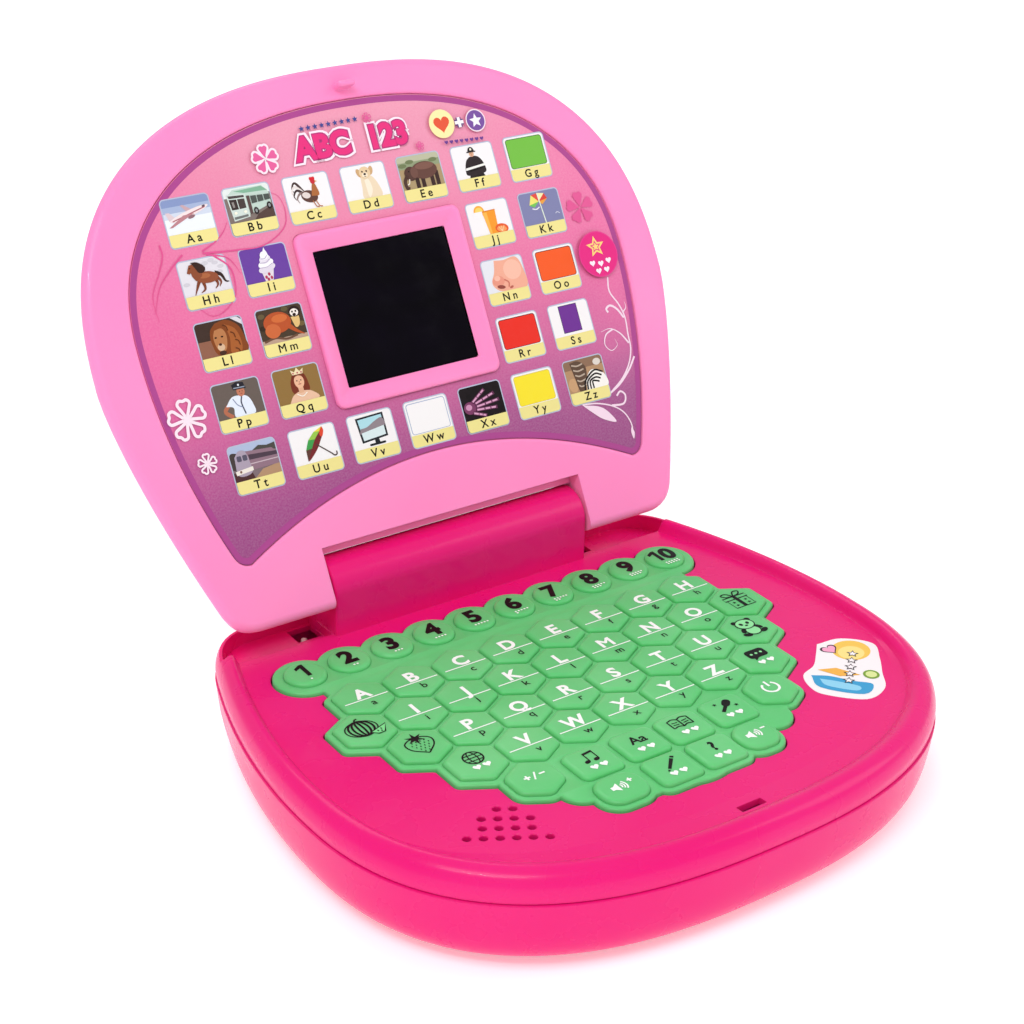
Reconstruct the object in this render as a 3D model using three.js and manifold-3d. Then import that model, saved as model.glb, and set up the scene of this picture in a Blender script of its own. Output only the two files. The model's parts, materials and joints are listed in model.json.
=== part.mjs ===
// Toy laptop computer: a round clamshell with a leaning picture lid, a silicone keypad and three AA cells.
// Millimetres, +Z up, the hinge runs along X and the user sits on the -Y side.
// Behind the keypad lie a circuit board, a speaker and a battery box; behind the lid's card lies the display.

import * as THREE from 'three';
import { mergeVertices } from 'three/addons/utils/BufferGeometryUtils.js';
import Module from 'manifold-3d';

const wasm = await Module();
wasm.setup();

// ---------------------------------------------------------------- driving dimensions

const PITCH = 18; // between two letter keys in a row; every plan size of the toy follows it
const ROW_PITCH = 0.89 * PITCH;
const FIRST_ROW_Y = 0.11 * PITCH; // the letter keys A to H
const GAP = 0.3; // between two pieces that touch
const WALL = 2;

// Heights above the table.
const FOOT_TOP = 1.2;
const FLOOR = 1.5;
const SEAM = 26;
const BOARD_TOP = 27.6;
const MAT_BOTTOM = 28;
const PANEL = 31.6;
const MAT_TOP = 32.7;
const KEY_TOP = 34;
const RIM = 35.5;
const REAR_WALL_TOP = 33.6;

// The hinge axis runs along X through this point.
const HINGE_Y = 50;
const HINGE_Z = 46;
const BARREL_RADIUS = 9.4;
const BARREL_HALF = 2.75 * PITCH;
const NOTCH_HALF = 2.8 * PITCH;
const OPEN_ANGLE = 118.7; // degrees from closed

// Lid heights are measured from the hinge axis towards the user's side of the lid.
const LID_FACE = 9.6;
const LID_SEAM = 3.6;
const LID_BACK = -7.5;
const NOTCH_RUN = 11.8;
const BACK_NOTCH_RUN = 9.6; // the back shell comes closer to the barrel and closes the gap above it
const RECESS_FLOOR = 8;
const LID_SKIN = 6.2;

// Plan of each shell: run is the distance from the hinge axis, reach goes from the widest line to the tip.
const BASE = {
  halfWidth: 5.88 * PITCH,
  centre: HINGE_Y + 1.8 * PITCH,
  reach: 4.77 * PITCH,
  power: 2.5,
  taper: 0.0535 * PITCH,
  taperPower: 1.89,
  end: -11,
  corner: 16,
};
const LID = {
  halfWidth: 6 * PITCH,
  centre: 4.144 * PITCH,
  reach: 4.88 * PITCH,
  power: 2.48,
  taper: 0.1526 * PITCH,
  taperPower: 1.39,
  end: -7.8,
  corner: 9,
};
const CARD = {
  halfWidth: 5.16 * PITCH,
  centre: 4.644 * PITCH,
  reach: 3.74 * PITCH,
  power: 2.28,
  taper: 0.0559 * PITCH,
  taperPower: 1.935,
  end: 0.714 * PITCH,
  corner: 4,
};
const CARD_ARCH = 1.08 * PITCH; // rise of the card's lower edge from its corners to the middle

// Screen: a raised frame that is part of the lid's face, a window and the display behind it.
const SCREEN = { half: 25.2, low: 59, high: 104.2 };
const FRAME_WIDTH = 6.3;
const FRAME_TOP = 10.4;
const LATCH_RUN = 155;

const TIP_STEPS = 11;
const SIDE_STEPS = 6;
const CORNER_STEPS = 4;
const HOLE_STEPS = 10;
const ROUND_STEPS = 20;
const KEY_STEPS = 16;

// ---------------------------------------------------------------- plain solids

function solid(geometry) {
  geometry.deleteAttribute('normal');
  geometry.deleteAttribute('uv');
  const merged = mergeVertices(geometry);
  return new wasm.Manifold(new wasm.Mesh({
    numProp: 3,
    vertProperties: new Float32Array(merged.attributes.position.array),
    triVerts: new Uint32Array(merged.index.array),
  }));
}

function toGeometry(body) {
  const mesh = body.getMesh();
  const geometry = new THREE.BufferGeometry();
  geometry.setAttribute('position', new THREE.BufferAttribute(new Float32Array(mesh.vertProperties), 3));
  geometry.setIndex(new THREE.BufferAttribute(new Uint32Array(mesh.triVerts), 1));
  geometry.computeVertexNormals();
  return geometry;
}

// A closed solid through a stack of outlines with the same number of points; both ends are capped flat.
function loft(rings) {
  const count = rings[0].points.length;
  const positions = [];
  const faces = [];
  rings.forEach((ring) => {
    const points = THREE.ShapeUtils.isClockWise(ring.points) ? [...ring.points].reverse() : ring.points;
    points.forEach((point) => positions.push(point.x, point.y, ring.z));
  });
  for (let level = 0; level < rings.length - 1; level += 1) {
    for (let i = 0; i < count; i += 1) {
      const a = level * count + i;
      const b = level * count + (i + 1) % count;
      faces.push(a, b, b + count, a, b + count, a + count);
    }
  }
  const lastLevel = (rings.length - 1) * count;
  const flat = (start) => Array.from({ length: count }, (_, i) => (
    new THREE.Vector2(positions[3 * (start + i)], positions[3 * (start + i) + 1])));
  THREE.ShapeUtils.triangulateShape(flat(0), []).forEach(([a, b, c]) => faces.push(c, b, a));
  THREE.ShapeUtils.triangulateShape(flat(lastLevel), []).forEach(([a, b, c]) => {
    faces.push(lastLevel + a, lastLevel + b, lastLevel + c);
  });
  return new wasm.Manifold(new wasm.Mesh({
    numProp: 3,
    vertProperties: new Float32Array(positions),
    triVerts: new Uint32Array(faces),
  }));
}

function prism(points, bottom, top) {
  return loft([{ points, z: bottom }, { points, z: top }]);
}

function polygon(x, y, radius, sides, turn = 0) {
  return Array.from({ length: sides }, (_, i) => {
    const angle = turn + (2 * Math.PI * i) / sides;
    return new THREE.Vector2(x + radius * Math.cos(angle), y + radius * Math.sin(angle));
  });
}

function rectangle(x0, x1, y0, y1) {
  return [[x0, y0], [x1, y0], [x1, y1], [x0, y1]].map(([x, y]) => new THREE.Vector2(x, y));
}

function box(x0, x1, y0, y1, z0, z1) {
  return prism(rectangle(x0, x1, y0, y1), z0, z1);
}

function post(x, y, radius, bottom, top, sides = HOLE_STEPS) {
  return prism(polygon(x, y, radius, sides), bottom, top);
}

// A round bar along X, centred on (y, z).
function barX(x0, x1, y, z, radius, sides = ROUND_STEPS) {
  const bar = new THREE.CylinderGeometry(radius, radius, x1 - x0, sides);
  bar.rotateZ(Math.PI / 2);
  bar.translate((x0 + x1) / 2, y, z);
  return solid(bar);
}

function turned(profile, steps = ROUND_STEPS) {
  const lathe = new THREE.LatheGeometry(profile.map(([r, z]) => new THREE.Vector2(r, z)), steps);
  lathe.rotateX(Math.PI / 2);
  return solid(lathe);
}

function union(bodies) {
  return bodies.reduce((sum, body) => sum.add(body));
}

// ---------------------------------------------------------------- shell outlines

// Points of a shell's plan in (x, run), moved in by inset: by tipInset at the tip and endInset at the hinge.
function shellOutline(shell, inset = 0, tipInset = inset, endInset = inset) {
  const { centre, power, taper, taperPower } = shell;
  const halfWidth = shell.halfWidth - inset;
  const reach = shell.reach - tipInset;
  const end = shell.end + endInset;
  const corner = Math.max(shell.corner - inset, WALL);
  const half = [];
  for (let i = 0; i <= TIP_STEPS; i += 1) {
    const angle = (Math.PI / 2) * (1 - i / TIP_STEPS);
    const x = i === 0 ? 0 : halfWidth * Math.cos(angle) ** (2 / power);
    const run = centre + reach * Math.max(Math.sin(angle), 0) ** (2 / power);
    half.push(new THREE.Vector2(x, run));
  }
  const sideLength = centre - end - corner;
  const sideX = (distance) => halfWidth - taper * (distance / PITCH) ** taperPower;
  for (let i = 1; i <= SIDE_STEPS; i += 1) {
    const distance = (sideLength * i) / SIDE_STEPS;
    half.push(new THREE.Vector2(sideX(distance), centre - distance));
  }
  const slope = sideX(sideLength - 1) - sideX(sideLength);
  const start = half[half.length - 1];
  const turn = new THREE.QuadraticBezierCurve(
    start,
    new THREE.Vector2(start.x - slope * corner, end),
    new THREE.Vector2(start.x - slope * corner - corner, end),
  );
  half.push(...turn.getPoints(CORNER_STEPS).slice(1));
  const other = half.slice(1).reverse().map((point) => new THREE.Vector2(-point.x, point.y));
  return [...half, ...other];
}

function basePlan(inset, tipInset) {
  return shellOutline(BASE, inset, tipInset).map((point) => new THREE.Vector2(point.x, HINGE_Y - point.y));
}

function baseLoft(levels) {
  return loft(levels.map(([z, inset, tipInset]) => ({ points: basePlan(inset, tipInset), z })));
}

function lidLoft(levels) {
  const points = ([, inset, endInset]) => shellOutline(LID, inset, inset, endInset);
  return loft(levels.map((level) => ({ points: points(level), z: level[0] })));
}

// The card's plan has an arched lower edge in place of the straight end.
function cardPlan(inset) {
  const lowest = CARD.end + inset;
  return shellOutline(CARD, inset).flatMap((point, i, all) => {
    const next = all[(i + 1) % all.length];
    if (point.y > lowest + 1e-6 || next.y > lowest + 1e-6) return [point];
    const steps = 12;
    return Array.from({ length: steps }, (_, k) => {
      const x = point.x + ((next.x - point.x) * k) / steps;
      return new THREE.Vector2(x, lowest + CARD_ARCH * (1 - (x / point.x) ** 2));
    });
  });
}

// ---------------------------------------------------------------- keypad layout

const rowY = (row) => FIRST_ROW_Y - row * ROW_PITCH;
const key = (name, shape, column, y, size) => ({ name, shape, x: column * PITCH, y, size: size * PITCH });

const HEX = 0.5; // corner radius of a hexagonal key's outline, in pitches
const DOME = 0.4;
const MODE_ROW_Y = -3.58 * PITCH;
const LAST_ROW_Y = -4.42 * PITCH;

const numberKeys = Array.from({ length: 10 }, (_, i) => (
  key(`number_key_${i + 1}`, 'round', 0.875 * (i - 4.5), 1.3 * PITCH, DOME)));

const letterRows = [
  { count: 8, start: -3.5 },
  { count: 7, start: -3 },
  { count: 6, start: -2.5 },
  { count: 5, start: -2 },
].map(({ count, start }, row) => ({
  name: `letter_key_row_${row + 1}`,
  y: rowY(row),
  keys: Array.from({ length: count }, (_, i) => key('letter', 'hex', start + i, rowY(row), HEX)),
}));

const functionKeys = [
  key('melon_key', 'hex', -4, rowY(1), HEX),
  key('present_key', 'hex', 4, rowY(1), HEX),
  key('strawberry_key', 'hex', -3.5, rowY(2), HEX),
  key('bear_key', 'hex', 3.5, rowY(2), HEX),
  key('first_language_key', 'hex', -3, rowY(3), HEX),
  key('second_language_key', 'hex', 3, rowY(3), HEX),
  key('plus_minus_key', 'round', -2.47, rowY(4), 0.42),
  key('music_key', 'square', -1.42, MODE_ROW_Y, 0.38),
  key('letter_mode_key', 'square', -0.46, MODE_ROW_Y, 0.38),
  key('word_mode_key', 'square', 0.46, MODE_ROW_Y, 0.38),
  key('singing_key', 'square', 1.42, MODE_ROW_Y, 0.38),
  key('power_key', 'round', 2.47, rowY(4), 0.42),
  key('volume_up_key', 'round', -1.48, LAST_ROW_Y, 0.4),
  key('spelling_key', 'square', -0.46, LAST_ROW_Y, 0.38),
  key('asking_key', 'square', 0.46, LAST_ROW_Y, 0.38),
  key('volume_down_key', 'round', 1.3, LAST_ROW_Y, 0.4),
];

// A key's outline grown by margin all round.
function keyPlan({ shape, x, y, size }, margin = 0) {
  if (shape === 'round') return polygon(x, y, size + margin, KEY_STEPS);
  if (shape === 'square') {
    const half = size + margin;
    return rectangle(x - half, x + half, y - half, y + half);
  }
  return polygon(x, y, size + margin / Math.cos(Math.PI / 6), 6, Math.PI / 6);
}

const allKeys = [...numberKeys, ...letterRows.flatMap((row) => row.keys), ...functionKeys];

// The mat's plan is every key's lobe joined together, with a round lobe under the two middle keys and
// fillers under the number keys, between the letters and the two lowest rows and beside the volume keys.
function matBody(bottom, top, margin) {
  const lobe = { hex: 0.18 * PITCH, round: 0.17 * PITCH, square: 0.21 * PITCH };
  const bridges = [[1.02, -4.3, 0.5], [1.95, -4, 0.42]];
  const lobes = allKeys.map((item) => {
    const grown = item.shape === 'round' ? polygon(item.x, item.y, item.size + lobe.round + margin, KEY_STEPS)
      : polygon(item.x, item.y, item.size + lobe[item.shape] + margin, 6, Math.PI / 6);
    return prism(grown, bottom, top);
  });
  const middle = prism(polygon(0, -3.95 * PITCH, 1.1 * PITCH + margin, 32), bottom, top);
  const upperFiller = box(numberKeys[0].x, numberKeys[9].x, FIRST_ROW_Y, numberKeys[0].y, bottom, top);
  const lowerFiller = box(-2.1 * PITCH, 2.1 * PITCH, -4 * PITCH, rowY(3), bottom, top);
  const sideFillers = bridges.flatMap(([x, y, radius]) => [-1, 1].map((side) => (
    prism(polygon(side * x * PITCH, y * PITCH, radius * PITCH + margin, 24), bottom, top))));
  return union([...lobes, middle, upperFiller, lowerFiller, ...sideFillers]);
}

// ---------------------------------------------------------------- base pieces

const SCREWS = [[88, 20], [-88, 20], [-82, -62], [82, -62]];
const FEET = [[72, 34], [-72, 34], [-60, -78], [60, -78]];
const SPEAKER = { x: -3.68 * PITCH, y: -4.33 * PITCH, radius: 14.5 };
const BATTERY_BOX = { half: 28.5, front: -14.6, rear: 30.6, roof: 19 };
const DOOR_REAR = 41;
const DOOR_SCREW_Y = 36.5;
const CELL = { radius: 7.1, half: 24, height: 11.2, spacing: 14.6 };
const LATCH_SLOT = { half: 4.5, depth: 1.5 };
const GRILLE_TURN = THREE.MathUtils.degToRad(-30.2);
const GRILLE_ROWS = [2, 4, 4, 6];
const GRILLE_STEP = 4.6;
const GRILLE_SHIFT = { x: 4, y: 4.4 }; // the holes sit a little off the speaker's middle

function grilleHoles() {
  return GRILLE_ROWS.flatMap((count, row) => Array.from({ length: count }, (_, i) => {
    const spot = new THREE.Vector2((i - (count - 1) / 2) * GRILLE_STEP, (1.5 - row) * GRILLE_STEP);
    spot.rotateAround(new THREE.Vector2(), GRILLE_TURN);
    spot.add(new THREE.Vector2(SPEAKER.x + GRILLE_SHIFT.x, SPEAKER.y + GRILLE_SHIFT.y));
    return post(spot.x, spot.y, 1.3, PANEL - 3, PANEL + 1, 8);
  }));
}

// The block behind the keypad that carries the hinge barrel, shrunk by inset.
function barrelHousing(inset, bottom) {
  const half = BARREL_HALF - inset;
  const front = HINGE_Y - BARREL_RADIUS + inset;
  const rear = HINGE_Y + BARREL_RADIUS - inset;
  return box(-half, half, front, rear, bottom, HINGE_Z)
    .add(barX(-half, half, HINGE_Y, HINGE_Z, BARREL_RADIUS - inset, 28));
}

// The pockets either side of the barrel leave room for the lid's two ears as they turn.
function pockets(floor, inset, growth) {
  const plan = prism(basePlan(inset), floor, RIM + 5);
  const front = HINGE_Y - 7 - growth;
  const inner = BARREL_HALF + 0.4 - growth;
  const sides = box(inner, 120, front, 90, floor, RIM + 5).add(box(-120, -inner, front, 90, floor, RIM + 5));
  return plan.intersect(sides);
}

function baseTopCover() {
  const skin = baseLoft([
    [SEAM + GAP, 0.2], [29.5, 0], [32.4, 0.8], [34.4, 2.3], [RIM, 4.6, 5.2],
    [34.6, 6.3, 8], [32.3, 7.4, 10.6], [PANEL, 7.8, 19.2],
  ]);
  const hollow = baseLoft([[SEAM, 2.2], [31, 2.7], [33.2, 4.2], [33.2, 4.8, 6], [PANEL - WALL, 5.8, 9]]);
  const pocketFloor = SEAM + GAP + WALL;
  const tub = pockets(SEAM + GAP, 1, WALL);
  const rearTrim = box(-120, 120, HINGE_Y - 6.4, 90, REAR_WALL_TOP, RIM + 5);
  const bosses = union(SCREWS.map(([x, y]) => post(x, y, 4, 20.3, PANEL - 1)));
  const pilots = union(SCREWS.map(([x, y]) => post(x, y, 1.7, 20, 28.5)));
  const speakerRing = post(SPEAKER.x, SPEAKER.y, SPEAKER.radius + 2.2, 25, PANEL - 1, ROUND_STEPS)
    .subtract(post(SPEAKER.x, SPEAKER.y, SPEAKER.radius + 0.6, 24, PANEL - WALL, ROUND_STEPS));
  const slotY = HINGE_Y - LATCH_RUN;
  const slotRear = slotY + LATCH_SLOT.depth;
  const slot = box(-LATCH_SLOT.half, LATCH_SLOT.half, slotY - LATCH_SLOT.depth, slotRear, 25, 40);
  const pinBores = barX(-60, 60, HINGE_Y, HINGE_Z, 2.8, 12);
  const openings = union([-1, 1].map((side) => {
    const x = side * 54.5;
    return box(x - 4.4, x + 4.4, HINGE_Y - 1, HINGE_Y + 7, 20, 30);
  }));
  return skin
    .subtract(rearTrim)
    .subtract(hollow.subtract(tub))
    .subtract(pockets(pocketFloor, 2.6, 0))
    .add(barrelHousing(0, pocketFloor))
    .subtract(barrelHousing(WALL, SEAM))
    .add(bosses)
    .subtract(pilots)
    .add(speakerRing)
    .subtract(matBody(PANEL - 4, PANEL + 2, 0.4))
    .subtract(union(grilleHoles()))
    .subtract(slot)
    .subtract(pinBores)
    .subtract(openings);
}

function baseBottomShell() {
  const { half, front, rear, roof } = BATTERY_BOX;
  const skin = baseLoft([[FLOOR, 14], [2.5, 9.8], [4.6, 5.6], [8, 2.8], [14, 1], [SEAM, -0.3]]);
  const hollow = baseLoft([[FLOOR + WALL, 14], [5.5, 8], [9, 4.8], [14.5, 3.1], [SEAM + 1, 1.8]]);
  const boxWall = 1.6;
  const batteryBox = box(-half - boxWall, half + boxWall, front - boxWall, rear + boxWall, 3, roof + boxWall);
  const doorBlock = box(-6, 6, rear, DOOR_REAR + 0.4, 6.4, 14);
  const bosses = union(SCREWS.map(([x, y]) => post(x, y, 4.5, 3, 20))).intersect(skin);
  const screwWells = union(SCREWS.map(([x, y]) => post(x, y, 3.2, 0, 8).add(post(x, y, 1.8, 0, 21))));
  return skin
    .subtract(hollow)
    .add(batteryBox)
    .add(bosses)
    .subtract(box(-half, half, front, rear, 0, roof))
    .subtract(box(-half, half, rear - 1, DOOR_REAR, 0, 3.6))
    .add(doorBlock)
    .subtract(post(0, DOOR_SCREW_Y, 1.5, 6, 13))
    .subtract(box(-6.5, 6.5, rear - 8, rear - 0.2, 6, 14.5))
    .subtract(screwWells);
}

// The circuit board and the mat's flange share this plan, which clears the speaker and the screw bosses.
function boardPlan() {
  const half = [[84, 36], [84, -24], [50, -72], [34, -94]];
  const corners = [...half, ...half.map(([x, y]) => [-x, y]).reverse()];
  return corners.map(([x, y]) => new THREE.Vector2(x, y));
}

function keypadMat() {
  const keyHoles = union(allKeys.map((item) => prism(keyPlan(item, GAP), MAT_BOTTOM - 1, KEY_TOP)));
  const channels = union(letterRows.map((row) => rowCarrier(row, GAP, MAT_BOTTOM - 1, 30.2)));
  return prism(boardPlan(), MAT_BOTTOM, PANEL - WALL - GAP)
    .add(matBody(MAT_BOTTOM, MAT_TOP, 0))
    .subtract(keyHoles)
    .subtract(channels);
}

// The strip under a row of letter keys that ties them into one moulding.
function rowCarrier(row, margin, bottom, top) {
  const reach = Math.max(...row.keys.map((item) => item.x)) + 2 + margin;
  const halfDepth = 2.5 + margin;
  return box(-reach, reach, row.y - halfDepth, row.y + halfDepth, bottom, top);
}

const KEY_BOTTOM = 28.9;

function keyCap(item) {
  const edge = 0.8;
  const plan = keyPlan(item);
  const face = { points: keyPlan(item, -edge), z: KEY_TOP };
  return loft([{ points: plan, z: KEY_BOTTOM }, { points: plan, z: KEY_TOP - edge }, face]);
}

function letterKeyRow(row) {
  return union([rowCarrier(row, 0, KEY_BOTTOM, KEY_BOTTOM + 1), ...row.keys.map(keyCap)]);
}

function mainCircuitBoard() {
  return prism(boardPlan(), BOARD_TOP - 1.6, BOARD_TOP);
}

function speakerFrame() {
  const r = SPEAKER.radius;
  return turned([[0, 17], [9, 17], [9, 22], [11, 22], [r, 26.5], [r, 29], [r - 1.5, 29], [r - 1.5, 27.2],
    [9.5, 23.6], [0, 23.6]]);
}

function speakerCone() {
  return turned([[0, 25.2], [3, 25.2], [12.5, 28.2], [12.5, 28.8], [4, 26.4], [2.5, 27.4], [0, 27.8]]);
}

function aaCell() {
  const { radius, half } = CELL;
  return barX(-half, half, 0, 0, radius).add(barX(half - 1, half + 1.2, 0, 0, 2.6, HOLE_STEPS));
}

function batteryContact() {
  const cells = [-1, 0, 1];
  const plate = box(0, 0.5, -20, 20, -5, 5);
  return union([plate, ...cells.map((i) => barX(0.4, 1.6, i * CELL.spacing, 0, 2.2, 8))]);
}

function batteryDoor() {
  const { half, front } = BATTERY_BOX;
  const play = 0.4;
  return box(-half + play, half - play, front + play, DOOR_REAR - play, FLOOR, 3.5)
    .add(post(0, DOOR_SCREW_Y, 3.8, 3, 6, 12))
    .subtract(post(0, DOOR_SCREW_Y, 2.9, 1, 4, 12))
    .subtract(post(0, DOOR_SCREW_Y, 1.5, 3, 7, 12));
}

function screw(headRadius, headHeight, shankRadius, length) {
  return turned([[0, 0], [headRadius, 0], [headRadius, headHeight], [shankRadius, headHeight],
    [shankRadius, length - 1.5], [0, length]], 12);
}

// ---------------------------------------------------------------- lid pieces, in (x, run, height)

const lidNotch = (growth, run = NOTCH_RUN) => (
  box(-NOTCH_HALF - growth, NOTCH_HALF + growth, -30, run + growth, -20, 30));
const pinPassage = () => barX(-60, 60, 0, 0, 2.8, 12);

function screenRing(margin, bottom, top, lean = 0) {
  const plan = (m) => rectangle(-SCREEN.half - m, SCREEN.half + m, SCREEN.low - m, SCREEN.high + m);
  return loft([{ points: plan(margin), z: bottom }, { points: plan(margin + lean), z: top }]);
}

function lidFrontBezel() {
  const skin = lidLoft([[LID_SEAM, 1.2, 0], [5.2, 0.4, 0], [6.8, 0], [8.4, 0.8], [9.3, 2], [LID_FACE, 3.2]]);
  const hollow = lidLoft([[LID_SEAM - 1, 3.6, WALL], [LID_SKIN, 2.2, WALL]]);
  const latch = box(-2.6, 2.6, LATCH_RUN - 0.9, LATCH_RUN + 0.9, LID_FACE - 1, LID_FACE + 5.2);
  return skin
    .subtract(hollow.subtract(lidNotch(WALL)))
    .subtract(lidNotch(0))
    .subtract(prism(cardPlan(0), RECESS_FLOOR, LID_FACE + 1))
    .add(screenRing(FRAME_WIDTH, LID_SKIN, FRAME_TOP - 1))
    .add(screenRing(FRAME_WIDTH, FRAME_TOP - 1.01, FRAME_TOP, -1.2))
    .subtract(screenRing(0, 0, RECESS_FLOOR + 0.01))
    .subtract(screenRing(0, RECESS_FLOOR, FRAME_TOP + 1, 3))
    .add(latch);
}

function lidBackShell() {
  const skin = lidLoft([
    [LID_BACK, 20, 12], [-6.8, 14, 7.5], [-5, 9, 3.6], [-2, 4.9, 0.8], [1, 2.6, 0], [LID_SEAM - GAP, 1.3, 0],
  ]);
  const hollow = lidLoft([[LID_BACK + WALL, 15, 9], [-4, 11, 6], [-1, 6.4, 3], [LID_SEAM + 1, 3.2, WALL]]);
  return skin
    .subtract(hollow.subtract(lidNotch(WALL, BACK_NOTCH_RUN)))
    .subtract(lidNotch(0, BACK_NOTCH_RUN))
    .subtract(pinPassage());
}

function pictureCard() {
  return prism(cardPlan(GAP), RECESS_FLOOR + GAP, RECESS_FLOOR + 0.7)
    .subtract(screenRing(FRAME_WIDTH + GAP, 0, 20));
}

function screenWindow() {
  return screenRing(-GAP, 6.6, RECESS_FLOOR - 0.2);
}

function lcdPanel() {
  return box(-29, 29, 55, 108, 2.4, LID_SKIN - 0.4);
}

// A round lead through a few points.
function lead(points, radius) {
  const route = new THREE.CatmullRomCurve3(points.map((point) => new THREE.Vector3(...point)));
  const section = new THREE.Shape(polygon(0, 0, radius, 8));
  return solid(new THREE.ExtrudeGeometry(section, { steps: 14, bevelEnabled: false, extrudePath: route }));
}

// ---------------------------------------------------------------- materials

const surface = (metalness) => (color, roughness = 0.35) => (
  new THREE.MeshStandardMaterial({ color, roughness, metalness }));
const plastic = surface(0);
const metal = surface(1);

const COLOURS = {
  basePink: 0xee2080,
  lidPink: 0xff94c8,
  silicone: 0x62cf77,
  card: 0xd06a9c,
  screen: 0x0b0510,
  board: 0x2f7a44,
  black: 0x1b1b1d,
  cell: 0x3b4a8c,
  steel: 0xb8bcc2,
  brass: 0xc9a24a,
  rubber: 0x3a3a3c,
  lead: 0xf2efe6,
};

// ---------------------------------------------------------------- assembly

const toy = new THREE.Group();
const base = new THREE.Group();
const lid = new THREE.Group();
toy.add(base, lid);

function place(group, name, body, material, position = [0, 0, 0], rotation = [0, 0, 0]) {
  const mesh = new THREE.Mesh(toGeometry(body), material);
  mesh.name = name;
  mesh.position.set(...position);
  mesh.rotation.set(...rotation);
  group.add(mesh);
}

place(base, 'base_bottom_shell', baseBottomShell(), plastic(COLOURS.basePink, 0.22));
place(base, 'base_top_cover', baseTopCover(), plastic(COLOURS.basePink, 0.22));
place(base, 'keypad_mat', keypadMat(), plastic(COLOURS.silicone, 0.5));
place(base, 'main_circuit_board', mainCircuitBoard(), plastic(COLOURS.board, 0.5));
place(base, 'speaker_frame', speakerFrame(), metal(COLOURS.steel), [SPEAKER.x, SPEAKER.y, 0]);
place(base, 'speaker_cone', speakerCone(), plastic(COLOURS.black, 0.8), [SPEAKER.x, SPEAKER.y, 0]);

numberKeys.concat(functionKeys).forEach((item) => {
  place(base, item.name, keyCap(item), plastic(COLOURS.silicone, 0.5));
});
letterRows.forEach((row) => {
  place(base, row.name, letterKeyRow(row), plastic(COLOURS.silicone, 0.5));
});

const boxMiddle = (BATTERY_BOX.front + BATTERY_BOX.rear) / 2;
[-1, 0, 1].forEach((slot) => {
  const turn = slot === 0 ? Math.PI : 0;
  const y = boxMiddle + slot * CELL.spacing;
  place(base, `aa_cell_${slot + 2}`, aaCell(), plastic(COLOURS.cell), [0, y, CELL.height], [0, 0, turn]);
});
[['battery_contact_left', -28.2, 0], ['battery_contact_right', 28.2, Math.PI]].forEach(([name, x, turn]) => {
  place(base, name, batteryContact(), metal(COLOURS.brass), [x, boxMiddle, CELL.height], [0, 0, turn]);
});
place(base, 'battery_door', batteryDoor(), plastic(COLOURS.basePink, 0.3));
place(base, 'battery_door_screw', screw(2.5, 1.4, 1.2, 9), metal(COLOURS.steel), [0, DOOR_SCREW_Y, 2.2]);
FEET.forEach(([x, y], i) => {
  place(base, `foot_pad_${i + 1}`, post(x, y, 6, 0, FOOT_TOP, ROUND_STEPS), plastic(COLOURS.rubber, 0.8));
});
SCREWS.forEach(([x, y], i) => {
  place(base, `case_screw_${i + 1}`, screw(2.8, 2, 1.4, 21), metal(COLOURS.steel), [x, y, 5.6]);
});
const baseLead = [[-60, 33, 24], [-62, 39, 22.5], [-58.5, 46, 22.3], [-55, 52.5, 26.6]];
place(base, 'display_cable_base', lead(baseLead, 1.1), plastic(COLOURS.lead));

place(lid, 'lid_front_bezel', lidFrontBezel(), plastic(COLOURS.lidPink, 0.38));
place(lid, 'lid_back_shell', lidBackShell(), plastic(COLOURS.lidPink, 0.38));
place(lid, 'picture_card', pictureCard(), plastic(COLOURS.card, 0.45));
place(lid, 'screen_window', screenWindow(), plastic(COLOURS.screen, 0.08));
place(lid, 'lcd_panel', lcdPanel(), plastic(COLOURS.black, 0.4));
const lidLead = [[-20, 52, 0], [-40, 38, -1.5], [-60, 22, -2], [-70, 4, -1]];
place(lid, 'display_cable_lid', lead(lidLead, 1.1), plastic(COLOURS.lead));
const hingePin = () => barX(44.5, 58, 0, 0, 2.5, 12).add(barX(54, 56, 0, 0, 4, 12));
place(lid, 'hinge_pin_right', hingePin(), metal(COLOURS.steel));
place(lid, 'hinge_pin_left', hingePin(), metal(COLOURS.steel), [0, 0, 0], [0, Math.PI, 0]);

lid.position.set(0, HINGE_Y, HINGE_Z);
lid.rotation.x = THREE.MathUtils.degToRad(180 - OPEN_ANGLE);

// The origin is under the middle of the opened toy, on the table.
toy.updateMatrixWorld(true);
const extent = new THREE.Box3().setFromObject(toy, true);
toy.position.y = -(extent.min.y + extent.max.y) / 2;

export default toy;
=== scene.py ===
"""Looks of the toy laptop computer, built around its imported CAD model.

Sizes are in millimetres and become metres as each mesh is made. +Z is up, the hinge runs along X
and the user sits on the -Y side. Lid pieces are drawn in the lid's own frame: x, run (the distance
from the hinge axis) and height (towards the user's side of the lid).
"""
import json
import math

import bpy
import numpy as np
from mathutils import Matrix, Vector
from mathutils.geometry import tessellate_polygon


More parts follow.
